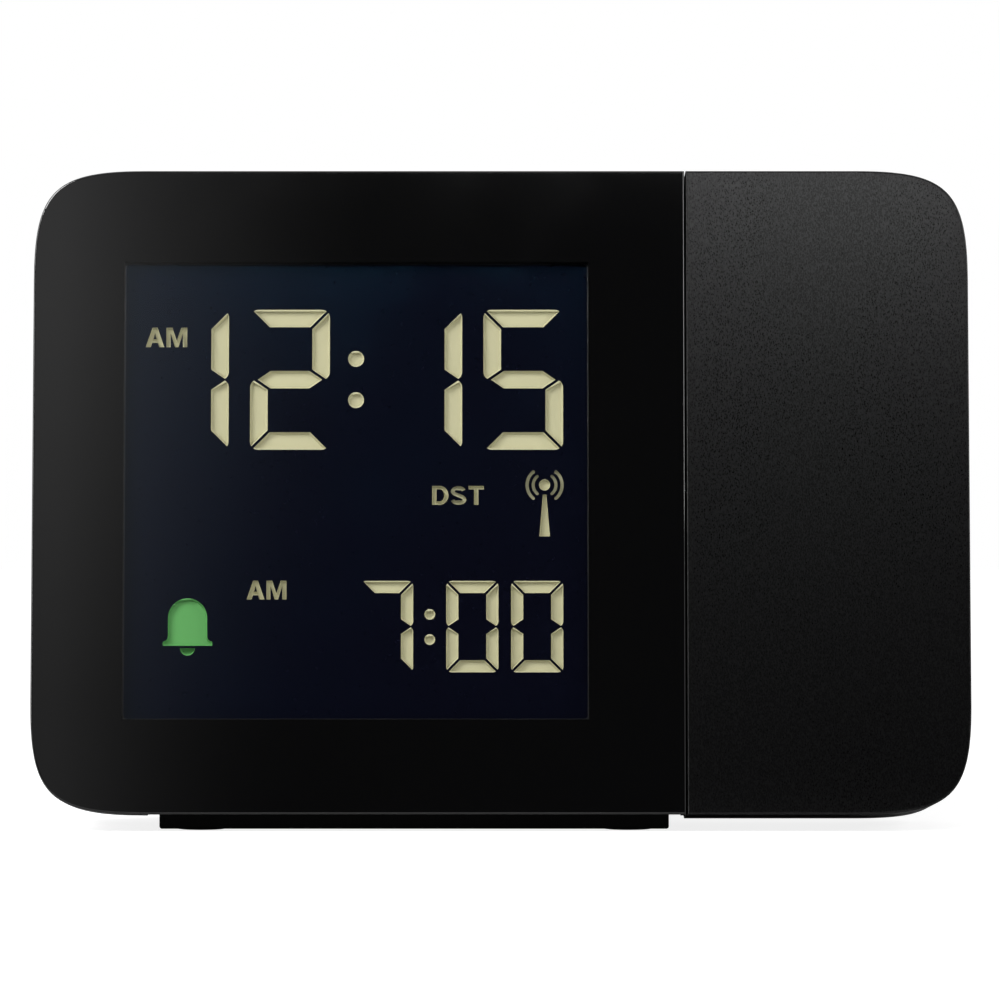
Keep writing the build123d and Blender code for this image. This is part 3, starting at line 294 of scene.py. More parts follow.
def rounded(points, radius, steps=5):
    """A polygon with its corners rounded, by less where its sides are short."""
    outline = []
    for index, corner in enumerate(points):
        here = Vector(corner)
        before = Vector(points[index - 1]) - here
        after = Vector(points[(index + 1) % len(points)]) - here
        half = before.angle(after) / 2
        reach = min(radius / math.tan(half), 0.45 * before.length, 0.45 * after.length)
        start = here + before.normalized() * reach
        end = here + after.normalized() * reach
        for step in range(steps + 1):
            share = step / steps
            point = (1 - share)**2 * start + 2 * share * (1 - share) * here + share**2 * end
            outline.append((point.x, point.y))
    return outline


def rectangle(left, right, bottom, top, more=0.0):
    """A rectangle, with some more on each side."""
    left, right, bottom, top = left - more, right + more, bottom - more, top + more
    return [(left, bottom), (right, bottom), (right, top), (left, top)]


def disc(x, z, radius, start=0.0, end=360.0, steps=32):
    """Points round a circle; part of one closes along its chord."""
    count = steps if end - start >= 360 else steps + 1
    turns = [math.radians(start + (end - start) * step / steps) for step in range(count)]
    return [(x + radius * math.cos(turn), z + radius * math.sin(turn)) for turn in turns]


def stroke(path, width, round_ends=False):
    """The outline of a line of even width along a path."""
    points = [Vector(point) for point in path]
    left, right = [], []
    for index, point in enumerate(points):
        along = points[min(index + 1, len(points) - 1)] - points[max(index - 1, 0)]
        side = Vector((-along.y, along.x)).normalized() * width / 2
        left.append(point + side)
        right.append(point - side)

    def cap(centre, start):
        """Half a circle round an end, from one side of the line to the other."""
        arm = start - centre
        return [centre + Matrix.Rotation(-math.pi * step / 6, 2) @ arm for step in range(1, 6)]

    ends = [cap(points[-1], left[-1]), cap(points[0], right[0])] if round_ends else [[], []]
    return [tuple(point) for point in left + ends[0] + right[::-1] + ends[1]]


def moved(loops, x, z, scale=1.0):
    """Loops about the origin, enlarged and taken to a place."""
    return [[(x + px * scale, z + pz * scale) for px, pz in loop] for loop in loops]


def inset(points, reach):
    """A polygon without inward corners, with each side moved inwards."""
    inner = points
    for (ax, az), (bx, bz) in zip(points, points[1:] + points[:1]):
        side = Vector((az - bz, bx - ax)).normalized()
        inner = clip(inner, (ax + side.x * reach, az + side.y * reach), side)
    return inner


def offset(points, reach):
    """An outline with each side moved inwards, where no side is so short that it vanishes."""
    inner = []
    for index, corner in enumerate(points):
        before = Vector(corner) - Vector(points[index - 1])
        after = Vector(points[(index + 1) % len(points)]) - Vector(corner)
        first = Vector((-before.y, before.x)).normalized()
        second = Vector((-after.y, after.x)).normalized()
        move = (first + second) * (reach / max(1 + first.dot(second), 0.4))
        inner.append((corner[0] + move.x, corner[1] + move.y))
    return inner


def bent_box(left, right, bottom, top, radii, steps=6):
    """A rectangle with a radius for each corner, anticlockwise from the lower left."""
    corners = zip(((left, bottom, 1, 1), (right, bottom, -1, 1), (right, top, -1, -1), (left, top, 1, -1)),
                  radii, (180, 270, 0, 90))
    outline = []
    for (x, z, inward, upward), radius, start in corners:
        if radius:
            outline += disc(x + inward * radius, z + upward * radius, radius, start, start + 90, steps)
        else:
            outline.append((x, z))
    return outline


# Segments a to g, clockwise from the top, with the middle one last.
LIT = {"0": "abcdef", "1": "bc", "2": "abdeg", "5": "acdfg", "7": "abc"}
MIDDLE_SLOPE = 0.68            # of the cut between the middle segment and its neighbours
MIDDLE_START = 0.29            # where that cut starts, in strokes from the digit's side
CORNER_ROUND = 0.46            # radius of a digit's corners, in strokes
WAIST_ROUND = 0.43             # the same where an upright segment ends at half height


def segment(letter, width, height, thick, gap):
    """One segment of a digit whose lower left corner is at the origin, anticlockwise."""
    half = height / 2
    corner = CORNER_ROUND * thick
    mitre = gap / math.sqrt(2)
    cut = gap / 2 * math.hypot(MIDDLE_SLOPE, 1)
    if letter in "ad":
        outline = bent_box(0, width, 0, thick, (corner, corner, 0, 0))
        outline = clip(clip(outline, (mitre, 0), (1, -1)), (width - mitre, 0), (-1, -1))
        if letter == "a":
            outline = [(x, height - z) for x, z in outline[::-1]]
        return outline
    if letter == "g":
        outline = rectangle(0, width, half - thick / 2, half + thick / 2)
        start = MIDDLE_START * thick + cut / MIDDLE_SLOPE
        for x, inward in ((start, 1), (width - start, -1)):
            for rise in (1, -1):
                outline = clip(outline, (x, half), (inward * MIDDLE_SLOPE, rise))
        return outline
    outline = bent_box(0, thick, 0, half, (corner, 0, 0, WAIST_ROUND * thick))
    outline = clip(outline, (0, mitre), (-1, 1))
    outline = clip(outline, (MIDDLE_START * thick, half - cut), (-MIDDLE_SLOPE, -1))
    if letter in "bc":
        outline = [(width - x, z) for x, z in outline[::-1]]
    if letter in "bf":
        outline = [(x, height - z) for x, z in outline[::-1]]
    return outline


def digit(figure, x, z, width, height, thick, gap):
    """The outlines of a digit's lit segments."""
    return moved([segment(letter, width, height, thick, gap) for letter in LIT[figure]], x, z)


def s_path():
    """The middle line of an S: its upper bend, then its lower."""
    upper = disc(0.42, 0.72, 1, 12, 240, 20)
    lower = disc(0.43, 0.28, 1, -172, 60, 20)[::-1]
    bend = [(0.42 + (x - 0.42) * 0.29, 0.72 + (z - 0.72) * 0.18) for x, z in upper]
    return bend + [(0.43 + (x - 0.43) * 0.31, 0.28 + (z - 0.28) * 0.18) for x, z in lower]


def d_bow(reach_x, reach_z):
    """The right side of a D, or of the room in it."""
    return [(0.40 + reach_x * x, 0.5 + reach_z * z) for x, z in disc(0, 0, 1, -90, 90, 16)]


# Capital letters one unit high, each with its width.
CAPITALS = {
    "A": (0.95, [[(0, 0), (0.26, 0), (0.335, 0.225), (0.615, 0.225), (0.69, 0), (0.95, 0), (0.605, 1),
                  (0.345, 1)],
                 [(0.395, 0.41), (0.475, 0.72), (0.555, 0.41)]]),
    "M": (1.06, [[(0, 0), (0.215, 0), (0.215, 0.72), (0.445, 0), (0.615, 0), (0.845, 0.72), (0.845, 0),
                  (1.06, 0), (1.06, 1), (0.755, 1), (0.53, 0.33), (0.305, 1), (0, 1)]]),
    "D": (0.86, [[(0, 0), *d_bow(0.46, 0.5), (0, 1)],
                 [(0.23, 0.82), *d_bow(0.23, 0.32)[::-1], (0.23, 0.18)]]),
    "S": (0.86, [stroke(s_path(), 0.2)]),
    "O": (0.92, [[(0.46 + 0.46 * x, 0.5 + 0.5 * z) for x, z in disc(0, 0, 1)],
                 [(0.46 + 0.25 * x, 0.5 + 0.3 * z) for x, z in disc(0, 0, 1)]]),
    "N": (0.86, [[(0, 0), (0.215, 0), (0.215, 0.64), (0.63, 0), (0.86, 0), (0.86, 1), (0.645, 1),
                  (0.645, 0.37), (0.23, 1), (0, 1)]]),
    "F": (0.74, [[(0, 0), (0.23, 0), (0.23, 0.39), (0.66, 0.39), (0.66, 0.58), (0.23, 0.58), (0.23, 0.81),
                  (0.74, 0.81), (0.74, 1), (0, 1)]]),
    "T": (0.80, [[(0.285, 0), (0.515, 0), (0.515, 0.81), (0.8, 0.81), (0.8, 1), (0, 1), (0, 0.81),
                  (0.285, 0.81)]]),
}


def word(text, x, z, height, spacing=0.1):
    """The loops of each letter, with spaces between them counted in heights."""
    letters = []
    for letter in text:
        width, outline = CAPITALS[letter]
        letters.append(moved(outline, x, z, height))
        x += (width + spacing) * height
    return letters


def radio_mast(x, z):
    """A mast with waves at its tip, which shows that the radio signal is received."""
    loops = [disc(x, z, 0.84 * MM, steps=24)]
    for radius, width in ((1.70, 0.46), (2.62, 0.48)):
        for middle in (0, 180):
            arc = disc(x, z, radius * MM, middle - 50, middle + 50, 14)
            loops.append(stroke(arc, width * MM, round_ends=True))
    top, bottom = z - 1.45 * MM, z - 7.72 * MM
    loops.append([(x - 0.80 * MM, bottom), (x + 0.80 * MM, bottom), (x + 0.27 * MM, top),
                  (x - 0.27 * MM, top)])
    return loops


def bell(x, z):
    """A bell whose rim rests at height z, with its clapper under it."""
    side = [(3.70, 0), (3.70, 0.52), (3.62, 0.64), (3.26, 0.78), (3.02, 1.02), (2.94, 1.40)]
    dome = disc(0, 4.17, 2.93, 0, 180, 28)
    outline = side + dome + [(-px, pz) for px, pz in side[::-1]]
    clapper = disc(0, -0.36, 1.12, 180, 360, 14)
    return moved([outline, clapper], x, z, MM)


# ---------------------------------------------------------------- node trees
def opaque(tint):
    return (*tint, 1.0)


class Nodes:
    """Builds one node tree. An input is a value or the socket that feeds it."""

    def __init__(self, tree):
        self.tree = tree

    def socket(self, label, direction, kind):
        return self.tree.interface.new_socket(name=label, in_out=direction, socket_type="NodeSocket" + kind)

    def feed(self, socket, *values):
        """Sets a socket's value, or links what feeds it."""
        for value in values:
            if isinstance(value, bpy.types.NodeSocket):
                self.tree.links.new(value, socket)
            else:
                socket.default_value = value

    def add(self, kind, inputs=None, **settings):
        """A new node with its settings and what goes into it."""
        node = self.tree.nodes.new(kind)
        for key, value in settings.items():
            setattr(node, key, value)
        for key, value in (inputs or {}).items():
            self.feed(node.inputs[key], value)
        return node

    def make(self, kind, inputs=None, **settings):
        """A new node's first output."""
        return self.add(kind, inputs, **settings).outputs[0]

    def maths(self, operation, *values):
        return self.make("ShaderNodeMath", dict(enumerate(values)), operation=operation)

    def plus(self, first, second):
        return self.maths("ADD", first, second)

    def minus(self, first, second):
        return self.maths("SUBTRACT", first, second)

    def larger(self, first, second):
        return self.maths("MAXIMUM", first, second)

    def times(self, product, *factors):
        for factor in factors:
            product = self.maths("MULTIPLY", product, factor)
        return product

    def ramp(self, value, low, high, to_low=0.0, to_high=1.0, kind="SMOOTHSTEP"):
        """A value that goes from one number to another while its source goes from low to high."""
        return self.make("ShaderNodeMapRange", {0: value, 1: low, 2: high, 3: to_low, 4: to_high},
                         interpolation_type=kind)

    def line(self, *values):
        return self.ramp(*values, kind="LINEAR")

    def mixed(self, share, first, second):
        """A colour between two, each a socket or red, green and blue."""
        inputs = {0: share}
        for key, value in ((6, first), (7, second)):
            inputs[key] = value if isinstance(value, bpy.types.NodeSocket) else opaque(value)
        return self.add("ShaderNodeMix", inputs, data_type="RGBA").outputs[2]

    def noise(self, coords, scale, detail=2.0, **inputs):
        inputs.update(Vector=coords, Scale=scale, Detail=detail)
        return self.make("ShaderNodeTexNoise", inputs)

    def objects(self):
        return self.add("ShaderNodeTexCoord").outputs["Object"]

    def split(self, vector):
        return self.add("ShaderNodeSeparateXYZ", {0: vector}).outputs

    def vector(self, x=0.0, y=0.0, z=0.0):
        return self.make("ShaderNodeCombineXYZ", {0: x, 1: y, 2: z})

    def vectors(self, operation, inputs, output=0):
        return self.add("ShaderNodeVectorMath", inputs, operation=operation).outputs[output]

    def scaled(self, vector, factor):
        return self.vectors("SCALE", {0: vector, 3: factor})

    def placed(self, name, inputs):
        """The outputs of a shader group put in here, the group built at its first use."""
        group = bpy.data.node_groups.get(name) or GROUP_MAKERS[name]()
        return self.add("ShaderNodeGroup", inputs, name=name, node_tree=group).outputs


# ---------------------------------------------------------------- shader groups
class Group(Nodes):
    """A shader node group with named sockets."""

    def __init__(self, name, *inputs):
        super().__init__(bpy.data.node_groups.new(name, "ShaderNodeTree"))
        for label, kind, default in inputs:
            socket = self.socket(label, "INPUT", kind)
            if default is not None:
                socket.default_value = default
        self.ins = self.add("NodeGroupInput").outputs

    def put_out(self, kind="Float", **results):
        for label in results:
            self.socket(label, "OUTPUT", kind)
        self.add("NodeGroupOutput", results)
        return self.tree


GRAIN_MIDDLE = 0.75            # mean height of the moulded grain


def grain_group():
    """Spark-eroded plastic: fine pits of two sizes, and slow changes of tone over the moulding."""
    group = Group("Moulded_Grain", ("Vector", "Vector", None), ("Pitch", "Float", 0.0003),
                  ("Tone Spread", "Float", 0.1))
    coords, spread = group.ins["Vector"], group.ins["Tone Spread"]
    scale = group.maths("DIVIDE", 1.0, group.ins["Pitch"])
    pits = group.noise(coords, scale, 2.5, Roughness=0.6)
    dimples = group.add("ShaderNodeTexVoronoi", {"Vector": coords, "Scale": group.times(scale, 0.55)},
                        feature="SMOOTH_F1").outputs["Distance"]
    height = group.plus(pits, group.times(dimples, 0.6))
    slow = group.noise(coords, 38.0, 3.0)
    fine_tone = group.times(group.minus(height, GRAIN_MIDDLE), spread)
    slow_tone = group.times(group.minus(slow, 0.5), spread, 0.5)
    tone = group.plus(1.0, group.plus(fine_tone, slow_tone))
    return group.put_out(Height=height, Tone=tone, Slow=slow)


def tint_group():
    """A colour made lighter or darker by a tone about 1."""
    group = Group("Toned", ("Color", "Color", None), ("Tone", "Float", 1.0))
    return group.put_out("Color", Color=group.scaled(group.ins["Color"], group.ins["Tone"]))


def tracks_group():
    """Copper tracks under a board's lacquer, and tinned pads scattered among them."""
    group = Group("Board_Tracks", ("Vector", "Vector", None), ("Pitch", "Float", 0.0022))
    scale = group.maths("DIVIDE", 1.0, group.ins["Pitch"])
    x, _, z = group.split(group.ins["Vector"])
    flat = group.vector(x, z)
    runs = {"Vector": flat, "Scale": scale, "Mortar Size": 0.06, "Brick Width": 3.1, "Row Height": 0.42}
    tracks = group.add("ShaderNodeTexBrick", runs, offset=0.37, squash=0.6, squash_frequency=3)
    spots = group.add("ShaderNodeTexVoronoi", {"Vector": flat, "Scale": scale, "Randomness": 0.6},
                      feature="F1")
    pads = group.maths("LESS_THAN", spots.outputs["Distance"], 0.2)
    return group.put_out(Tracks=tracks.outputs["Fac"], Pads=pads)


GROUP_MAKERS = {"Moulded_Grain": grain_group, "Toned": tint_group, "Board_Tracks": tracks_group}


# ---------------------------------------------------------------- finishes
class Finish(Nodes):
    """A material whose one shader is a Principled node, with constants on the shader's own sockets."""

    def __init__(self, name, **constants):
        self.material = bpy.data.materials.new(name)
        self.material.use_nodes = True
        super().__init__(self.material.node_tree)
        self.shader = self.tree.nodes["Principled BSDF"]
        self.coords = self.objects()
        self.wear(**constants)

    def wear(self, **inputs):
        """Sets the shader's inputs; an underscore stands for a space in their names."""
        for key, value in inputs.items():
            self.feed(self.shader.inputs[key.replace("_", " ")], value)

    def bump(self, height, distance):
        self.wear(Normal=self.make("ShaderNodeBump", {"Height": height, "Distance": distance}))

    def toned(self, tint, tone):
        return self.placed("Toned", {"Color": opaque(tint), "Tone": tone})[0]

    def upright(self):
        """Object coordinates turned back to the upright clock, as separate X, Y and Z in metres."""
        tilt = math.atan2(UP.y, UP.z)
        moved_back = self.vectors("SUBTRACT", {0: self.coords, 1: tuple(ORIGIN)})
        turned = self.make("ShaderNodeVectorRotate", {"Vector": moved_back, "Angle": tilt},
                           rotation_type="X_AXIS")
        return self.split(turned)


KEY_GRAIN = {"pitch": 0.18 * MM, "depth": 0.002 * MM, "spread": 0.12}
METAL = {"Metallic": 1.0}


def moulded(name, tint, rough, pitch=0.4 * MM, depth=0.0015 * MM, spread=0.1, drift=0.03, pitted=0.0,
            upward=1.0, **constants):
    """Moulded plastic or rubber: a grain of some pitch and depth, and a tone that drifts a little.
    Its roughness drifts too, and may differ between the pits of the grain. The grain may be drawn out
    upwards."""
    finish = Finish(name, **constants)
    coords = finish.coords
    if upward != 1.0:
        coords = finish.vectors("MULTIPLY", {0: coords, 1: (1.0, 1.0, 1.0 / upward)})
    grain = finish.placed("Moulded_Grain", {"Vector": coords, "Pitch": pitch, "Tone Spread": spread})
    slow_rough = finish.ramp(grain["Slow"], 0.3, 0.7, rough - drift, rough + drift)
    pit_rough = finish.times(finish.minus(grain["Height"], GRAIN_MIDDLE), pitted)
    finish.height, finish.roughness = grain["Height"], finish.plus(slow_rough, pit_rough)
    finish.wear(Base_Color=finish.toned(tint, grain["Tone"]), Roughness=finish.roughness)
    finish.bump(finish.height, depth)
    return finish


def panel_finish(colours):
    """The front panel: clear over the display, and printed black behind everywhere else."""
    panel = Finish("Front_Panel", IOR=1.49)
    x, _, z = panel.upright()
    left, right, bottom, top = OPENING
    tests = (("GREATER_THAN", x, left), ("LESS_THAN", x, right), ("GREATER_THAN", z, bottom),
             ("LESS_THAN", z, top))
    inside = panel.times(*[panel.maths(*test) for test in tests])
    behind = panel.add("ShaderNodeNewGeometry").outputs["Backfacing"]
    mirror = panel.make("ShaderNodeFresnel", {"IOR": 1.49})
    front_mirror = panel.times(mirror, panel.minus(1.0, behind))
    smears = panel.noise(panel.coords, 55.0, 4.0, Distortion=0.6)
    panel.wear(Base_Color=panel.mixed(inside, colours.panel, (1, 1, 1)), Metallic=inside,
               Roughness=panel.ramp(smears, 0.35, 0.75, 0.035, 0.06),
               Alpha=panel.plus(panel.minus(1.0, inside), panel.times(inside, front_mirror)))
    return panel


def glow_finish(name, tint):
    """A layer of the display that its light shines through."""
    glow = Finish(name, Roughness=0.6, Specular_IOR_Level=0.2, Emission_Strength=0.12)
    toned = glow.toned(tint, glow.ramp(glow.noise(glow.coords, 60.0), 0.3, 0.7, 0.97, 1.03))
    glow.wear(Base_Color=toned, Emission_Color=toned)
    return glow


def arm_finish(tint):
    """The arm's grain, with painted shade in its pits, and a duller wall where the arm faces
    the body across the seam."""
    arm = moulded("Arm_Matte", tint, 0.282, pitch=0.11 * MM, depth=0.004 * MM, spread=0.35, drift=0.004,
                  pitted=0.04, upward=1.9, Specular_IOR_Level=0.285)
    x, y, _ = arm.upright()
    wall = arm.times(arm.maths("LESS_THAN", x, SEAM_WALL), arm.maths("GREATER_THAN", y, SEAM_LIP))
    # Painted shade: where the grain is low, in its pits, Metallic rises to 0.48 over the near-black colour
    # and dims their gloss.
    arm.wear(Roughness=arm.larger(arm.roughness, arm.times(wall, 0.95)),
             Metallic=arm.ramp(arm.height, 0.60, 0.94, 0.48, 0.0))
    return arm


def board_finish():
    """Green lacquer over copper tracks, with tinned pads."""
    board = Finish("Green_Board", Specular_IOR_Level=0.45)
    tracks, pads = board.placed("Board_Tracks", {"Vector": board.coords})
    lacquer = board.mixed(tracks, (0.010, 0.085, 0.030), (0.022, 0.160, 0.055))
    board.wear(Base_Color=board.mixed(pads, lacquer, (0.62, 0.63, 0.62)), Metallic=pads,
               Roughness=board.ramp(pads, 0.0, 1.0, 0.34, 0.22))
    board.bump(board.plus(tracks, pads), 0.00003)
    return board


def winding_finish():
    """Fine lacquered copper wire, laid turn by turn along X."""
    copper = Finish("Wound_Copper", Metallic=1.0)
    x, _, _ = copper.split(copper.coords)
    patches = copper.noise(copper.coords, 400.0)
    tint = copper.mixed(copper.ramp(patches, 0.3, 0.7), (0.62, 0.24, 0.10), (0.75, 0.33, 0.15))
    copper.wear(Base_Color=tint, Roughness=copper.ramp(patches, 0.3, 0.7, 0.26, 0.36))
    copper.bump(copper.maths("SINE", copper.times(x, 2 * math.pi / WIRE_PITCH)), 0.00006)
    return copper


def cell_finish():
    """A battery's printed sleeve: dark, with a copper-coloured band at the plus end, and steel ends."""
    cell = Finish("Cell_Sleeve")
    x, _, z = cell.upright()
    middle_x, middle_z = CELLS_MIDDLE
    along = cell.minus(x, middle_x)
    plus_side = cell.line(cell.maths("GREATER_THAN", z, middle_z), 0.0, 1.0, -1.0, 1.0)
    band = cell.maths("GREATER_THAN", cell.times(along, plus_side), BAND_START)
    ends = cell.maths("GREATER_THAN", cell.maths("ABSOLUTE", along), CELL_SLEEVE / 2)
    scuffs = cell.noise(cell.coords, 300.0, 4.0)
    sleeve = cell.mixed(band, (0.014, 0.015, 0.017), (0.50, 0.22, 0.085))
    worn = cell.mixed(cell.ramp(scuffs, 0.66, 0.80), sleeve, (0.10, 0.10, 0.11))
    cell.wear(Base_Color=cell.mixed(ends, worn, (0.62, 0.62, 0.63)),
              Metallic=cell.larger(ends, cell.times(band, 0.85)),
              Roughness=cell.ramp(scuffs, 0.3, 0.7, 0.24, 0.34))
    return cell


# ---------------------------------------------------------------- geometry node trees
class Growth(Nodes):
    """A geometry node tree that puts what it makes on points, with named inputs."""

    def __init__(self, name, floats, whole_numbers=()):
        super().__init__(bpy.data.node_groups.new(name, "GeometryNodeTree"))
        self.socket("Points", "INPUT", "Geometry")
        for kind, labels in (("Float", floats), ("Int", whole_numbers), ("Material", ("Material",))):
            for label in labels:
                self.socket(label, "INPUT", kind)
        self.socket("Geometry", "OUTPUT", "Geometry")
        self.ins = self.add("NodeGroupInput").outputs
        self.sizes = [self.ins[label] for label in (*floats, *whole_numbers)]

    def place(self, part, x=0.0, y=0.0, z=0.0, turn=(0, 0, 0)):
        """A part turned and moved, each distance a number or a socket."""
        return self.make("GeometryNodeTransform", {
            "Geometry": part, "Translation": self.vector(x, y, z), "Rotation": turn})

    def rod(self, radius, depth, sides):
        return self.make("GeometryNodeMeshCylinder", {"Vertices": sides, "Radius": radius, "Depth": depth})

    def ball(self, radius, segments, rings):
        size = {"Segments": segments, "Rings": rings, "Radius": radius}
        return self.make("GeometryNodeMeshUVSphere", size)

    def boolean(self, operation, parts, blank=None):
        """The union of some parts, what they have in common, or a blank without them."""
        node = self.add("GeometryNodeMeshBoolean", operation=operation, solver="EXACT")
        if blank is not None:
            self.feed(node.inputs["Mesh 1"], blank)
        self.feed(node.inputs["Mesh 2"], *parts)
        return node.outputs["Mesh"]

    def spread_out(self, part, **inputs):
        """Puts the part on each point and ends the tree in plain geometry with its material."""
        inputs.update(Points=self.ins["Points"], Instance=part)
        copies = self.make("GeometryNodeInstanceOnPoints", inputs)
        real = self.make("GeometryNodeRealizeInstances", {"Geometry": copies})
        done = self.make("GeometryNodeSetMaterial", {"Geometry": real, "Material": self.ins["Material"]})
        self.add("NodeGroupOutput", {0: done})
        return self.tree


DOME_BEND = 1.7                # radius of a screw head's dome, in radii of the head
RIB_POINTS = 8.0               # points along each rib's wave round the focus wheel


def screw_tree():
    """Screws with a domed head and a cross recess, each turned by its own angle about its axis."""
    tree = Growth("Cross_Screws", ("Head Radius", "Head Height", "Shank Radius", "Shank Length",
                                   "Cross Length", "Cross Width", "Cross Depth", "Tilt"))
    radius, height, shank_radius, shank_length, cross_length, cross_width, cross_depth, tilt = tree.sizes
    blank = tree.place(tree.rod(radius, height, 40), z=tree.times(height, 0.5))
    dome_radius = tree.times(radius, DOME_BEND)
    dome = tree.place(tree.ball(dome_radius, 40, 48), z=tree.minus(height, dome_radius))
    depth = tree.times(cross_depth, 2.0)     # half of it is over the head
    slots = []
    for size in ((cross_length, cross_width), (cross_width, cross_length)):
        slot = tree.make("GeometryNodeMeshCube", {"Size": tree.vector(*size, depth)})
        slots.append(tree.place(slot, z=height))
    head = tree.boolean("DIFFERENCE", slots, tree.boolean("INTERSECT", (blank, dome)))
    shank = tree.place(tree.rod(shank_radius, shank_length, 20), z=tree.times(shank_length, -0.5))
    whole = tree.add("GeometryNodeJoinGeometry")
    tree.feed(whole.inputs[0], head, shank)
    chance = tree.add("FunctionNodeRandomValue", {"Seed": 4}, data_type="FLOAT").outputs["Value"]
    spin = tree.vector(z=tree.times(chance, math.pi / 2))
    turn = tree.make("FunctionNodeRotateRotation", {0: tree.vector(tilt), 1: spin},
                     rotation_space="LOCAL")
    return tree.spread_out(whole.outputs[0], Rotation=turn)


def wheel_tree():
    """A wheel with rounded edges and fine ribs round its rim, on its lower face's centre."""
    tree = Growth("Ribbed_Wheel", ("Outer Radius", "Bore Radius", "Thickness", "Edge Round", "Rib Height"),
                  ("Ribs",))
    outer, bore, thick, edge, rib_height, ribs = tree.sizes
    path = tree.make("GeometryNodeCurvePrimitiveCircle", {
        "Resolution": tree.times(ribs, RIB_POINTS), "Radius": tree.times(tree.plus(outer, bore), 0.5)},
        mode="RADIUS")
    section = tree.make("GeometryNodeCurvePrimitiveQuadrilateral", {
        "Width": tree.minus(outer, bore), "Height": thick})
    section = tree.make("GeometryNodeFilletCurve", {"Curve": section, "Radius": edge, "Count": 3},
                        mode="POLY")
    ring = tree.add("GeometryNodeCurveToMesh", {"Curve": path, "Profile Curve": section}).outputs["Mesh"]
    x, y, _ = tree.split(tree.make("GeometryNodeInputPosition"))
    flat = tree.vector(x, y)
    reach = tree.vectors("LENGTH", {0: flat}, "Value")
    angle = tree.times(tree.maths("ARCTAN2", y, x), ribs)
    wave = tree.times(tree.minus(1.0, tree.maths("COSINE", angle)), 0.5)
    rim = tree.ramp(reach, tree.minus(outer, edge), outer)
    outward = tree.vectors("NORMALIZE", {0: flat})
    shift = tree.scaled(outward, tree.times(wave, rim, rib_height, -1.0))
    ribbed = tree.make("GeometryNodeSetPosition", {"Geometry": ring, "Offset": shift})
    return tree.spread_out(tree.place(ribbed, z=tree.times(thick, 0.5)))


def bar_tree():
    """Half-sunk round bars that lie across, one at each point."""
    tree = Growth("Grip_Bars", ("Bar Length", "Bar Width"))
    length_over_all, width = tree.sizes
    half = tree.times(width, 0.5)
    straight = tree.minus(length_over_all, width)
    across = (0, math.pi / 2, 0)
    parts = [tree.place(tree.rod(half, straight, 16), turn=across)]
    for side in (-0.5, 0.5):
        end = tree.place(tree.ball(half, 16, 8), turn=across)
        parts.append(tree.place(end, x=tree.times(straight, side)))
    return tree.spread_out(tree.boolean("UNION", parts))


def grown(tree, points, values):
    """The plain mesh that a geometry node tree makes on points of the upright clock."""
    mesh = bpy.data.meshes.new("points")
    mesh.from_pydata(points, [], [])
    obj = linked("points", mesh)
    modifier = obj.modifiers.new(tree.name, "NODES")
    modifier.node_group = tree
    for item in tree.interface.items_tree:
        if item.item_type == "SOCKET" and item.in_out == "INPUT" and item.name in values:
            modifier[item.identifier] = values[item.name]
    return stand(clean(evaluated_mesh(obj)))


# ---------------------------------------------------------------- operators
class ClockOperator:
    bl_options = {"REGISTER", "UNDO"}


# Each figure of the time and of the alarm, with the X of its lower left corner in millimetres.
TIME = (("1", -52.72), ("2", -37.58), ("1", -17.74), ("5", -2.62))
ALARM = (("7", -20.89), ("0", -8.16), ("0", 1.52))


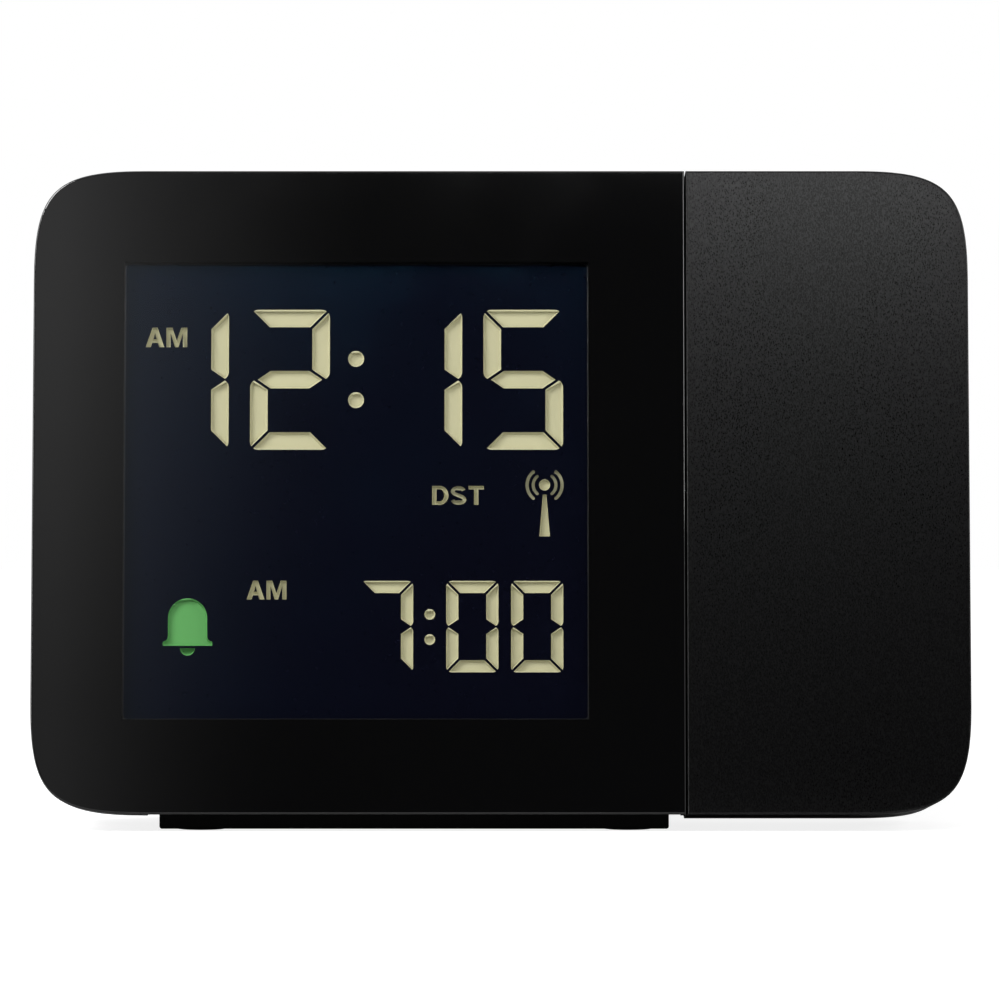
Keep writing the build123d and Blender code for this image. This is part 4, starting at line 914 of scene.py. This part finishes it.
class CLOCK_OT_display(ClockOperator, bpy.types.Operator):
    """Makes the display: a dark layer with the digits cut out over a pale layer"""
    bl_idname = "clock.display"
    bl_label = "Display"

    def execute(self, context):
        sizes, colours = context.scene.clock_display, context.scene.clock_colours
        field = moulded("Display_Field", colours.field, 0.13, pitch=0.7 * MM, depth=0.0002 * MM,
                        spread=0.05, Specular_IOR_Level=0.22, Specular_Tint=(0.10, 0.55, 1.0, 1.0))
        pale = glow_finish("Digit_Glow", colours.digits)
        green = glow_finish("Bell_Glow", colours.bell)
        edge = moulded("Display_Edge", (0.005, 0.005, 0.0053), 0.35, depth=0.001 * MM, spread=0.12)
        sheet = rounded(rectangle(*OPENING, sizes.field_margin), sizes.field_margin)
        x, z = BELL_PLACE
        patch = rectangle(x - 5.2 * MM, x + 5.2 * MM, z - 2.6 * MM, z + 8.6 * MM)
        back = MASK_BACK + sizes.field_thickness
        wells = self.wells(sizes)
        bells = [([outline], [offset(outline, 0.8 * sizes.well_slope)]) for outline in bell(*BELL_PLACE)]
        holes = [loop for outers, _ in wells + bells for loop in outers]
        outer = rounded(rectangle(*OPENING), OPENING_ROUND)
        inner = rounded(rectangle(*OPENING, -sizes.edge_line), OPENING_ROUND - sizes.edge_line)
        for name, mesh, finish, slot in (
                ("display_field", flat_mesh([sheet] + holes, MASK_BACK, back), field, "lcd"),
                ("display_rims", well_rims(wells, MASK_BACK, back), pale, "lcd"),
                ("display_bell_rims", well_rims(bells, MASK_BACK, back), green, "lcd"),
                ("display_pale_layer", flat_mesh([sheet, patch], back, CELL_FRONT), pale, "lcd"),
                ("display_bell_layer", flat_mesh([patch], back, CELL_FRONT), green, "lcd"),
                ("display_edge_line", flat_mesh([outer, inner], EDGE_FRONT, MASK_BACK), edge, "mask")):
            add_piece(name, mesh, finish.material, "clock")
        return {"FINISHED"}

    def wells(self, sizes):
        """The outer and inner loops of each well of the pale layer, from places in millimetres."""
        slope, gap = sizes.well_slope, sizes.segment_gap
        wells = []
        # The figures, the height they stand at, the slope's width and their sizes.
        for figures, z, reach, size in (
                (TIME, 54.58, slope, (sizes.time_width, sizes.time_height, sizes.time_stroke, gap)),
                (ALARM, 21.20, 0.8 * slope, (sizes.alarm_width, sizes.alarm_height, sizes.alarm_stroke,
                                             0.9 * gap))):
            for figure, x in figures:
                wells += [([loop], [inset(loop, reach)]) for loop in digit(figure, x * MM, z * MM, *size)]
        for x, z, radius in ((-21.70, 68.28, 1.20), (-21.70, 62.05, 1.20),
                             (-10.61, 29.87, 0.80), (-10.61, 26.10, 0.80)):
            wells.append(([disc(x * MM, z * MM, radius * MM)], [disc(x * MM, z * MM, radius * MM - slope)]))
        for text, x, z, height in (("AM", -53.27, 70.05, 2.95), ("AM", -37.97, 32.10, 2.82),
                                   ("DST", -10.28, 46.30, 2.84)):
            for outers in word(text, x * MM, z * MM, height * MM):
                wells.append((outers, [offset(loop, 0.35 * slope) for loop in outers]))
        for outline in radio_mast(6.54 * MM, 49.28 * MM):
            wells.append(([outline], [offset(outline, 0.32 * slope)]))
        return wells


def paint(finish, nodes):
    """Gives carried-over solids their finish."""
    for node in nodes.split():
        mesh = frame["nodes"][node].data
        mesh.materials.clear()
        mesh.materials.append(finish.material)


class CLOCK_OT_case(ClockOperator, bpy.types.Operator):
    """Gives the panel, the case, the arm, the foot and the keys their finishes"""
    bl_idname = "clock.case"
    bl_label = "Case, arm and keys"

    def execute(self, context):
        colours = context.scene.clock_colours
        paint(panel_finish(colours), "front_window")
        paint(moulded("Black_Print", colours.panel, 0.5, pitch=0.5 * MM, depth=0.0005 * MM, spread=0.12),
              "window_mask")
        satin = {"pitch": 0.22 * MM, "depth": 0.0035 * MM, "spread": 0.16}
        paint(moulded("Frame_Satin", colours.case, 0.36, **satin, Specular_IOR_Level=0.8), "front_frame")
        paint(moulded("Foot_Satin", colours.foot, 0.5, **satin, Specular_IOR_Level=0.05), "foot_base")
        paint(moulded("Rear_Satin", colours.case, 0.36, pitch=0.16 * MM, depth=0.006 * MM, spread=0.16,
                      drift=0.01, pitted=0.06, Specular_IOR_Level=0.3),
              "rear_housing battery_door arm_rear_shell")
        paint(arm_finish(colours.arm), "arm_front_shell")
        paint(moulded("Key_Satin", colours.keys, 0.36, **KEY_GRAIN),
              "snooze_bar alarm_slider flip_key projector_slider lens_ring focus_wheel time_key alarm_key "
              "plus_key minus_key zone_key")
        paint(moulded("Foot_Rubber", (0.010, 0.010, 0.010), 0.75, pitch=0.5 * MM, depth=0.01 * MM,
                      spread=0.2), "foot_pads")
        return {"FINISHED"}


# The screws' places in millimetres: X and Z of those in the shells, X and Y of the foot's.
CASE_SCREWS = ((-64, 20), (-64, 78), (21, 9.5), (21, 87))
ARM_SCREWS = ((33.4, 9.5), (33.4, 87), (64, 9.5), (64, 87))
FOOT_SCREWS = ((-37.92, 20), (12.05, 20))
SHELL_SEAT = 12.0              # depth that the shells' screw heads rest on
FOOT_SEAT = 0.87               # height that the foot's rest on


class CLOCK_OT_screws(ClockOperator, bpy.types.Operator):
    """Makes the screws of the case, the arm and the foot, with domed heads and cross recesses"""
    bl_idname = "clock.screws"
    bl_label = "Screws"

    def execute(self, context):
        sizes = context.scene.clock_fittings
        steel = moulded("Blackened_Screw", (0.10, 0.10, 0.105), 0.34, pitch=0.3 * MM, **METAL).material
        tree = screw_tree()
        cross = {"Cross Length": sizes.cross_length, "Cross Width": sizes.cross_width,
                 "Cross Depth": sizes.cross_depth, "Material": steel}
        shell = {**cross, "Head Radius": 2.2 * MM, "Head Height": 1.6 * MM, "Shank Radius": 1.1 * MM,
                 "Shank Length": 8.1 * MM, "Tilt": -math.pi / 2}
        foot = {**cross, "Head Radius": 2.3 * MM, "Head Height": 1.2 * MM, "Shank Radius": 1.25 * MM,
                "Shank Length": 5.5 * MM, "Tilt": math.pi}
        for name, node, body, kind, places in (
                ("case_screws", "body_screws", "clock", shell, [(x, SHELL_SEAT, z) for x, z in CASE_SCREWS]),
                ("arm_case_screws", "arm_screws", "arm", shell, [(x, SHELL_SEAT, z) for x, z in ARM_SCREWS]),
                ("foot_fixing_screws", "foot_screws", "clock", foot,
                 [(x, y, FOOT_SEAT) for x, y in FOOT_SCREWS])):
            points = [tuple(side * MM for side in place) for place in places]
            add_piece(name, grown(tree, points, kind), steel, body, (node,))
        return {"FINISHED"}


WHEEL_PLACE = (46.0 * MM, 16.9 * MM, 70.2 * MM)     # of the focus wheel's lower face
GRIP_DEPTH = 27.96 * MM                             # of the axes of the door's ribs
GRIP_TOP = 34.2                                     # height of the uppermost, in millimetres
GRIP_STEP = 1.5


class CLOCK_OT_wheel(ClockOperator, bpy.types.Operator):
    """Makes the focus wheel with its fine ribs, and the grip ribs of the battery door"""
    bl_idname = "clock.wheel"
    bl_label = "Focus wheel and door ribs"

    def execute(self, context):
        sizes, colours = context.scene.clock_fittings, context.scene.clock_colours
        satin = moulded("Wheel_Satin", colours.keys, 0.4, **KEY_GRAIN).material
        values = {"Outer Radius": 11.9 * MM, "Bore Radius": 7.05 * MM, "Thickness": 5.0 * MM,
                  "Edge Round": 0.7 * MM, "Ribs": sizes.wheel_ribs, "Rib Height": sizes.wheel_rib_height,
                  "Material": satin}
        wheel = grown(wheel_tree(), [WHEEL_PLACE], values)
        add_piece("focus_wheel_ribbed", wheel, satin, "wheel", ("focus_wheel",))
        door = bpy.data.materials["Rear_Satin"]
        points = [(CELLS_MIDDLE[0], GRIP_DEPTH, (GRIP_TOP - GRIP_STEP * step) * MM)
                  for step in range(sizes.grip_bars)]
        values = {"Bar Length": sizes.grip_bar_length, "Bar Width": sizes.grip_bar_width, "Material": door}
        add_piece("door_grip_bars", grown(bar_tree(), points, values), door, "battery_door")
        return {"FINISHED"}


def key_marks():
    """Each marked key's X and Z and the loops of its mark, in millimetres."""
    plus = [(-1.1, -0.22), (-0.22, -0.22), (-0.22, -1.1), (0.22, -1.1), (0.22, -0.22), (1.1, -0.22),
            (1.1, 0.22), (0.22, 0.22), (0.22, 1.1), (-0.22, 1.1), (-0.22, 0.22), (-1.1, 0.22)]
    hands = stroke([(0, 0.78), (0, 0), (-0.55, -0.32)], 0.24)
    pin = disc(0, 0.42, 0.80, -35, 215, 24) + [(0, -1.25)]
    turn = [[(-1.05, 0.22), (1.05, 0.22), (0, 1.25)], [(-1.05, -0.22), (0, -1.25), (1.05, -0.22)]]
    return {
        "time_key": (-51, 78, [disc(0, 0, 1.25), disc(0, 0, 1.0), hands]),
        "alarm_key": (-40, 78, moved(bell(0, 0), 0, -1.0, 0.30 / MM)),
        "plus_key": (-29, 78, [plus]),
        "minus_key": (-18, 78, [rectangle(-1.1, 1.1, -0.22, 0.22)]),
        "zone_key": (-7, 78, [pin, disc(0, 0.42, 0.34)]),
        "flip_key": (50, 31, turn),
    }


WORD_HEIGHT = 1.7              # of the words beside the switches, in millimetres
WORD_SPACING = 0.12            # between their letters, in heights
WORD_REACH = 4.4               # from a switch's middle to that of a word


class CLOCK_OT_marks(ClockOperator, bpy.types.Operator):
    """Prints the generic marks on the keys and beside the slide switches at the back"""
    bl_idname = "clock.marks"
    bl_label = "Marks"

    def execute(self, context):
        ink = moulded("Pale_Print", context.scene.clock_colours.marks, 0.55, pitch=0.3 * MM,
                      depth=0.0005 * MM, spread=0.06)
        relief = context.scene.clock_fittings.mark_relief
        marks = [(key + "_mark", key, "keys", KEY_TOP, moved(loops, x * MM, z * MM, MM))
                 for key, (x, z, loops) in key_marks().items()]
        for name, body, x, z in (("alarm_switch_words", "clock", 9.0, 82.6),
                                 ("projector_switch_words", "arm", 50.0, 22.6)):
            letters = self.word_behind("ON", x - WORD_REACH, z) + self.word_behind("OFF", x + WORD_REACH, z)
            marks.append((name, body, "case", CASE_BACK, letters))
        for name, body, slot, face, loops in marks:
            add_piece(name, flat_mesh(loops, face - relief, face + relief), ink.material, body)
        return {"FINISHED"}

    def word_behind(self, text, x, z):
        """A word's loops about its middle, to be read from behind the clock."""
        width = sum(CAPITALS[letter][0] for letter in text) + WORD_SPACING * (len(text) - 1)
        return [[((x - px * WORD_HEIGHT) * MM, (z + pz * WORD_HEIGHT) * MM) for px, pz in loop]
                for letter in word(text, -width / 2, -0.5, 1.0, WORD_SPACING) for loop in letter]


# Name, colour, roughness, further constants and solids of each plain finish inside the clock.
INNER_FINISHES = (
    ("White_Moulding", (0.62, 0.61, 0.57), 0.5, {}, "lcd_frame antenna_holders"),
    ("Guide_Acrylic", (0.72, 0.73, 0.66), 0.2, {}, "light_guide"),
    ("White_Film", (0.8, 0.8, 0.8), 0.35, {}, "reflector_sheet"),
    ("Black_Resin", (0.012, 0.012, 0.012), 0.45, {},
     "display_driver board_link alarm_switch snooze_stem snooze_switch buzzer dc_jack lamp_tube "
     "focus_barrel projector_switch"),
    ("Lamp_Resin", (0.8, 0.78, 0.6), 0.3, {}, "backlight_lamps projector_lamp"),
    ("Grey_Silicone", (0.30, 0.31, 0.33), 0.6, {}, "contact_strip rear_key_mat flip_key_mat"),
    ("Black_Zinc", (0.09, 0.09, 0.095), 0.35, METAL, "body_screws arm_screws foot_screws"),
    ("Bright_Steel", (0.55, 0.55, 0.56), 0.28, METAL,
     "clock_crystal battery_contacts arm_shaft shaft_clip friction_washer"),
    ("Ferrite", (0.035, 0.035, 0.038), 0.6, {}, "antenna_rod"),
    ("Wire_Cover", (0.28, 0.01, 0.008), 0.4, {}, "body_wires arm_wires"),
    ("Cell_Glass", (0.006, 0.009, 0.014), 0.08, {}, "lcd_cell projector_lcd"),
    ("Clear_Lens", (0.9, 0.93, 0.93), 0.03, {"Transmission_Weight": 1.0}, "condenser_lens projection_lens"),
)


class CLOCK_OT_inside(ClockOperator, bpy.types.Operator):
    """Gives the pieces inside the clock their finishes"""
    bl_idname = "clock.inside"
    bl_label = "Inside"

    def execute(self, context):
        for name, tint, rough, constants, nodes in INNER_FINISHES:
            paint(moulded(name, tint, rough, **constants), nodes)
        paint(board_finish(), "main_board key_board lamp_board arm_board")
        paint(winding_finish(), "antenna_coil")
        paint(cell_finish(), "batteries")
        return {"FINISHED"}


# ---------------------------------------------------------------- studio
def shine(owner, kind, output, make_strength):
    """Gives a material or a world one white light, whose strength a function builds."""
    owner.use_nodes = True
    nodes = Nodes(owner.node_tree)
    nodes.tree.nodes.clear()
    light = nodes.make(kind, {"Color": (1, 1, 1, 1), "Strength": make_strength(nodes)})
    nodes.add(output, {"Surface": light})


def stage_sheet(name, near_corner, far_corner, material):
    """A rectangle between two opposite corners, lying flat or standing across."""
    (x, y, z), (far_x, far_y, far_z) = near_corner, far_corner
    mesh = bpy.data.meshes.new(name)
    mesh.from_pydata([(x, y, z), (far_x, y, z), (far_x, far_y, far_z), (x, far_y, far_z)], [],
                     [(0, 1, 2, 3)])
    mesh.materials.append(material)
    obj = linked(name, mesh)
    return obj


def mirrored_card(name, near_corner, far_corner, make_strength):
    """A glowing card that shows in glossy faces alone."""
    material = bpy.data.materials.new(name)
    shine(material, "ShaderNodeEmission", "ShaderNodeOutputMaterial", make_strength)
    card = stage_sheet(name, near_corner, far_corner, material)
    card.visible_camera = False
    card.visible_diffuse = False
    card.visible_transmission = False
    card.visible_shadow = False


def area_lamp(name, place, target, width, height, power):
    lamp = bpy.data.lights.new(name, "AREA")
    lamp.shape = "RECTANGLE"
    lamp.size, lamp.size_y = width, height
    lamp.energy = power
    obj = linked(name, lamp)
    obj.location = place
    obj.rotation_euler = (Vector(target) - obj.location).to_track_quat("-Z", "Y").to_euler()
    obj.visible_camera = False


class CLOCK_OT_studio(ClockOperator, bpy.types.Operator):
    """Sets the floor, the room's light, the lamps, the cards and the camera"""
    bl_idname = "clock.studio"
    bl_label = "Studio"

    def execute(self, context):
        scene, studio = context.scene, context.scene.clock_studio
        self.room(scene, studio)
        self.floor()
        self.cards(studio)
        # Name, place, point it is aimed at, width, height and power of each lamp.
        for lamp in (
                ("top_strip", (0.05, -0.31, 0.206), (0.05, -0.015, 0.06), 0.24, 0.04, studio.top_light),
                ("left_lamp", (-0.55, -0.55, 0.65), (-0.02, 0, 0.05), 0.4, 0.4, studio.side_light),
                ("right_strip", (0.50, -0.25, 0.24), (0.03, 0, 0.09), 0.08, 0.24, studio.edge_light),
                ("left_strip", (-0.50, -0.25, 0.20), (-0.03, 0, 0.06), 0.08, 0.30, studio.edge_light)):
            area_lamp(*lamp)
        lens = bpy.data.cameras.new("camera")
        lens.lens, lens.sensor_width = studio.focal_length, 36.0
        lens.clip_start, lens.clip_end = 0.01, 20.0
        camera = linked("camera", lens)
        camera.location = (studio.camera_side, -studio.camera_distance, studio.camera_height)
        camera.rotation_euler = (math.pi / 2, 0, 0)
        scene.camera = camera
        scene.view_settings.view_transform = "Standard"
        return {"FINISHED"}

    def room(self, scene, studio):
        """White to the camera and in mirrors, and dimmer as a light."""
        def strength(nodes):
            path = nodes.add("ShaderNodeLightPath").outputs
            mirrored = nodes.larger(path["Is Glossy Ray"], path["Is Transmission Ray"])
            seen = nodes.larger(path["Is Camera Ray"], mirrored)
            return nodes.line(seen, 0.0, 1.0, studio.world_light, 1.0)

        scene.world = bpy.data.worlds.new("room")
        shine(scene.world, "ShaderNodeBackground", "ShaderNodeOutputWorld", strength)

    def floor(self):
        """A pale table without an edge. It glows to the camera and in mirrors, but not where the
        clock's underside mirrors the shadow that it stands in."""
        table = Finish("Pale_Table", Roughness=0.9, Specular_IOR_Level=0.0, Emission_Color=(1, 1, 1, 1))
        path = table.add("ShaderNodeLightPath").outputs
        cloud = table.ramp(table.noise(table.coords, 4.0), 0.3, 0.7)
        x, y, _ = table.split(table.coords)
        # Painted shade: a soft-edged box round the clock's footprint where the glow is kept out of mirrors;
        # the dark inside it is the floor's real shadow.
        aside = table.minus(table.maths("ABSOLUTE", x), 0.07)
        along = table.minus(table.maths("ABSOLUTE", table.minus(y, 0.03)), 0.05)
        clear = table.ramp(table.larger(aside, along), 0.0, 0.02)
        mirrored = table.times(clear, table.larger(path["Is Glossy Ray"], path["Is Transmission Ray"]))
        far = table.vectors("LENGTH", {0: table.coords}, "Value")
        glow = table.times(table.larger(path["Is Camera Ray"], mirrored),
                           table.ramp(far, 0.25, 1.0, NEAR_GLOW, 1.0))
        table.wear(Base_Color=table.mixed(cloud, (0.46, 0.46, 0.46), (0.50, 0.50, 0.50)),
                   Emission_Strength=glow)
        stage_sheet("floor", (-3.0, -3.0, 0), (3.0, 3.0, 0), table.material)

    def cards(self, studio):
        """A dark card behind the camera, paler towards its left, and one on the floor before the
        clock, which ends in the floor's own glow."""
        def graded(nodes):
            x, _, z = nodes.split(nodes.objects())
            # The pale part starts at a line that leans to the left below its knee.
            below_knee = nodes.larger(nodes.minus(0.395, z), 0.0)
            start = nodes.minus(-0.02, nodes.times(below_knee, 0.25))
            across = nodes.maths("POWER", nodes.line(x, start, -0.177), 2.7)
            far_left, upwards = nodes.line(x, -0.34, -0.20), nodes.line(z, 0.231, 0.394, 0.47, 1.0)
            low_end, high_end = nodes.line(z, 0.0, 0.16), nodes.line(z, 0.7, 0.45)
            return nodes.times(across, far_left, upwards, low_end, high_end, studio.left_card)

        def near_floor(nodes):
            _, y, _ = nodes.split(nodes.objects())
            return nodes.ramp(y, -0.056, -0.032, 0.0, NEAR_GLOW)

        mirrored_card("dark_card", (-1.1, -1.35, -0.2), (1.3, -1.35, 1.6), graded)
        mirrored_card("low_card", (-1.1, -1.34, 0.001), (1.3, -0.036, 0.001), near_floor)


class CLOCK_PT_panel(bpy.types.Panel):
    bl_label = "Projection alarm clock"
    bl_idname = "CLOCK_PT_panel"
    bl_space_type = "VIEW_3D"
    bl_region_type = "UI"
    bl_category = "Clock"

    def draw(self, context):
        for group in SETTINGS:
            box = self.layout.box()
            settings = getattr(context.scene, group)
            for key in settings.__annotations__:
                box.prop(settings, key)
        for operator in OPERATORS:
            self.layout.operator(operator.bl_idname)


OPERATORS = (CLOCK_OT_case, CLOCK_OT_inside, CLOCK_OT_display, CLOCK_OT_screws, CLOCK_OT_wheel,
             CLOCK_OT_marks, CLOCK_OT_studio)
CLASSES = (*SETTINGS.values(), *OPERATORS, CLOCK_PT_panel)


def register():
    for cls in CLASSES:
        bpy.utils.register_class(cls)
    for name, cls in SETTINGS.items():
        setattr(bpy.types.Scene, name, PointerProperty(type=cls))


def unregister():
    for name in SETTINGS:
        delattr(bpy.types.Scene, name)
    for cls in reversed(CLASSES):
        bpy.utils.unregister_class(cls)


def main():
    register()
    bpy.ops.clock.case()
    bpy.ops.clock.inside()
    bpy.ops.clock.display()
    bpy.ops.clock.screws()
    bpy.ops.clock.wheel()
    bpy.ops.clock.marks()
    bpy.ops.clock.studio()


if __name__ == "__main__":
    main()
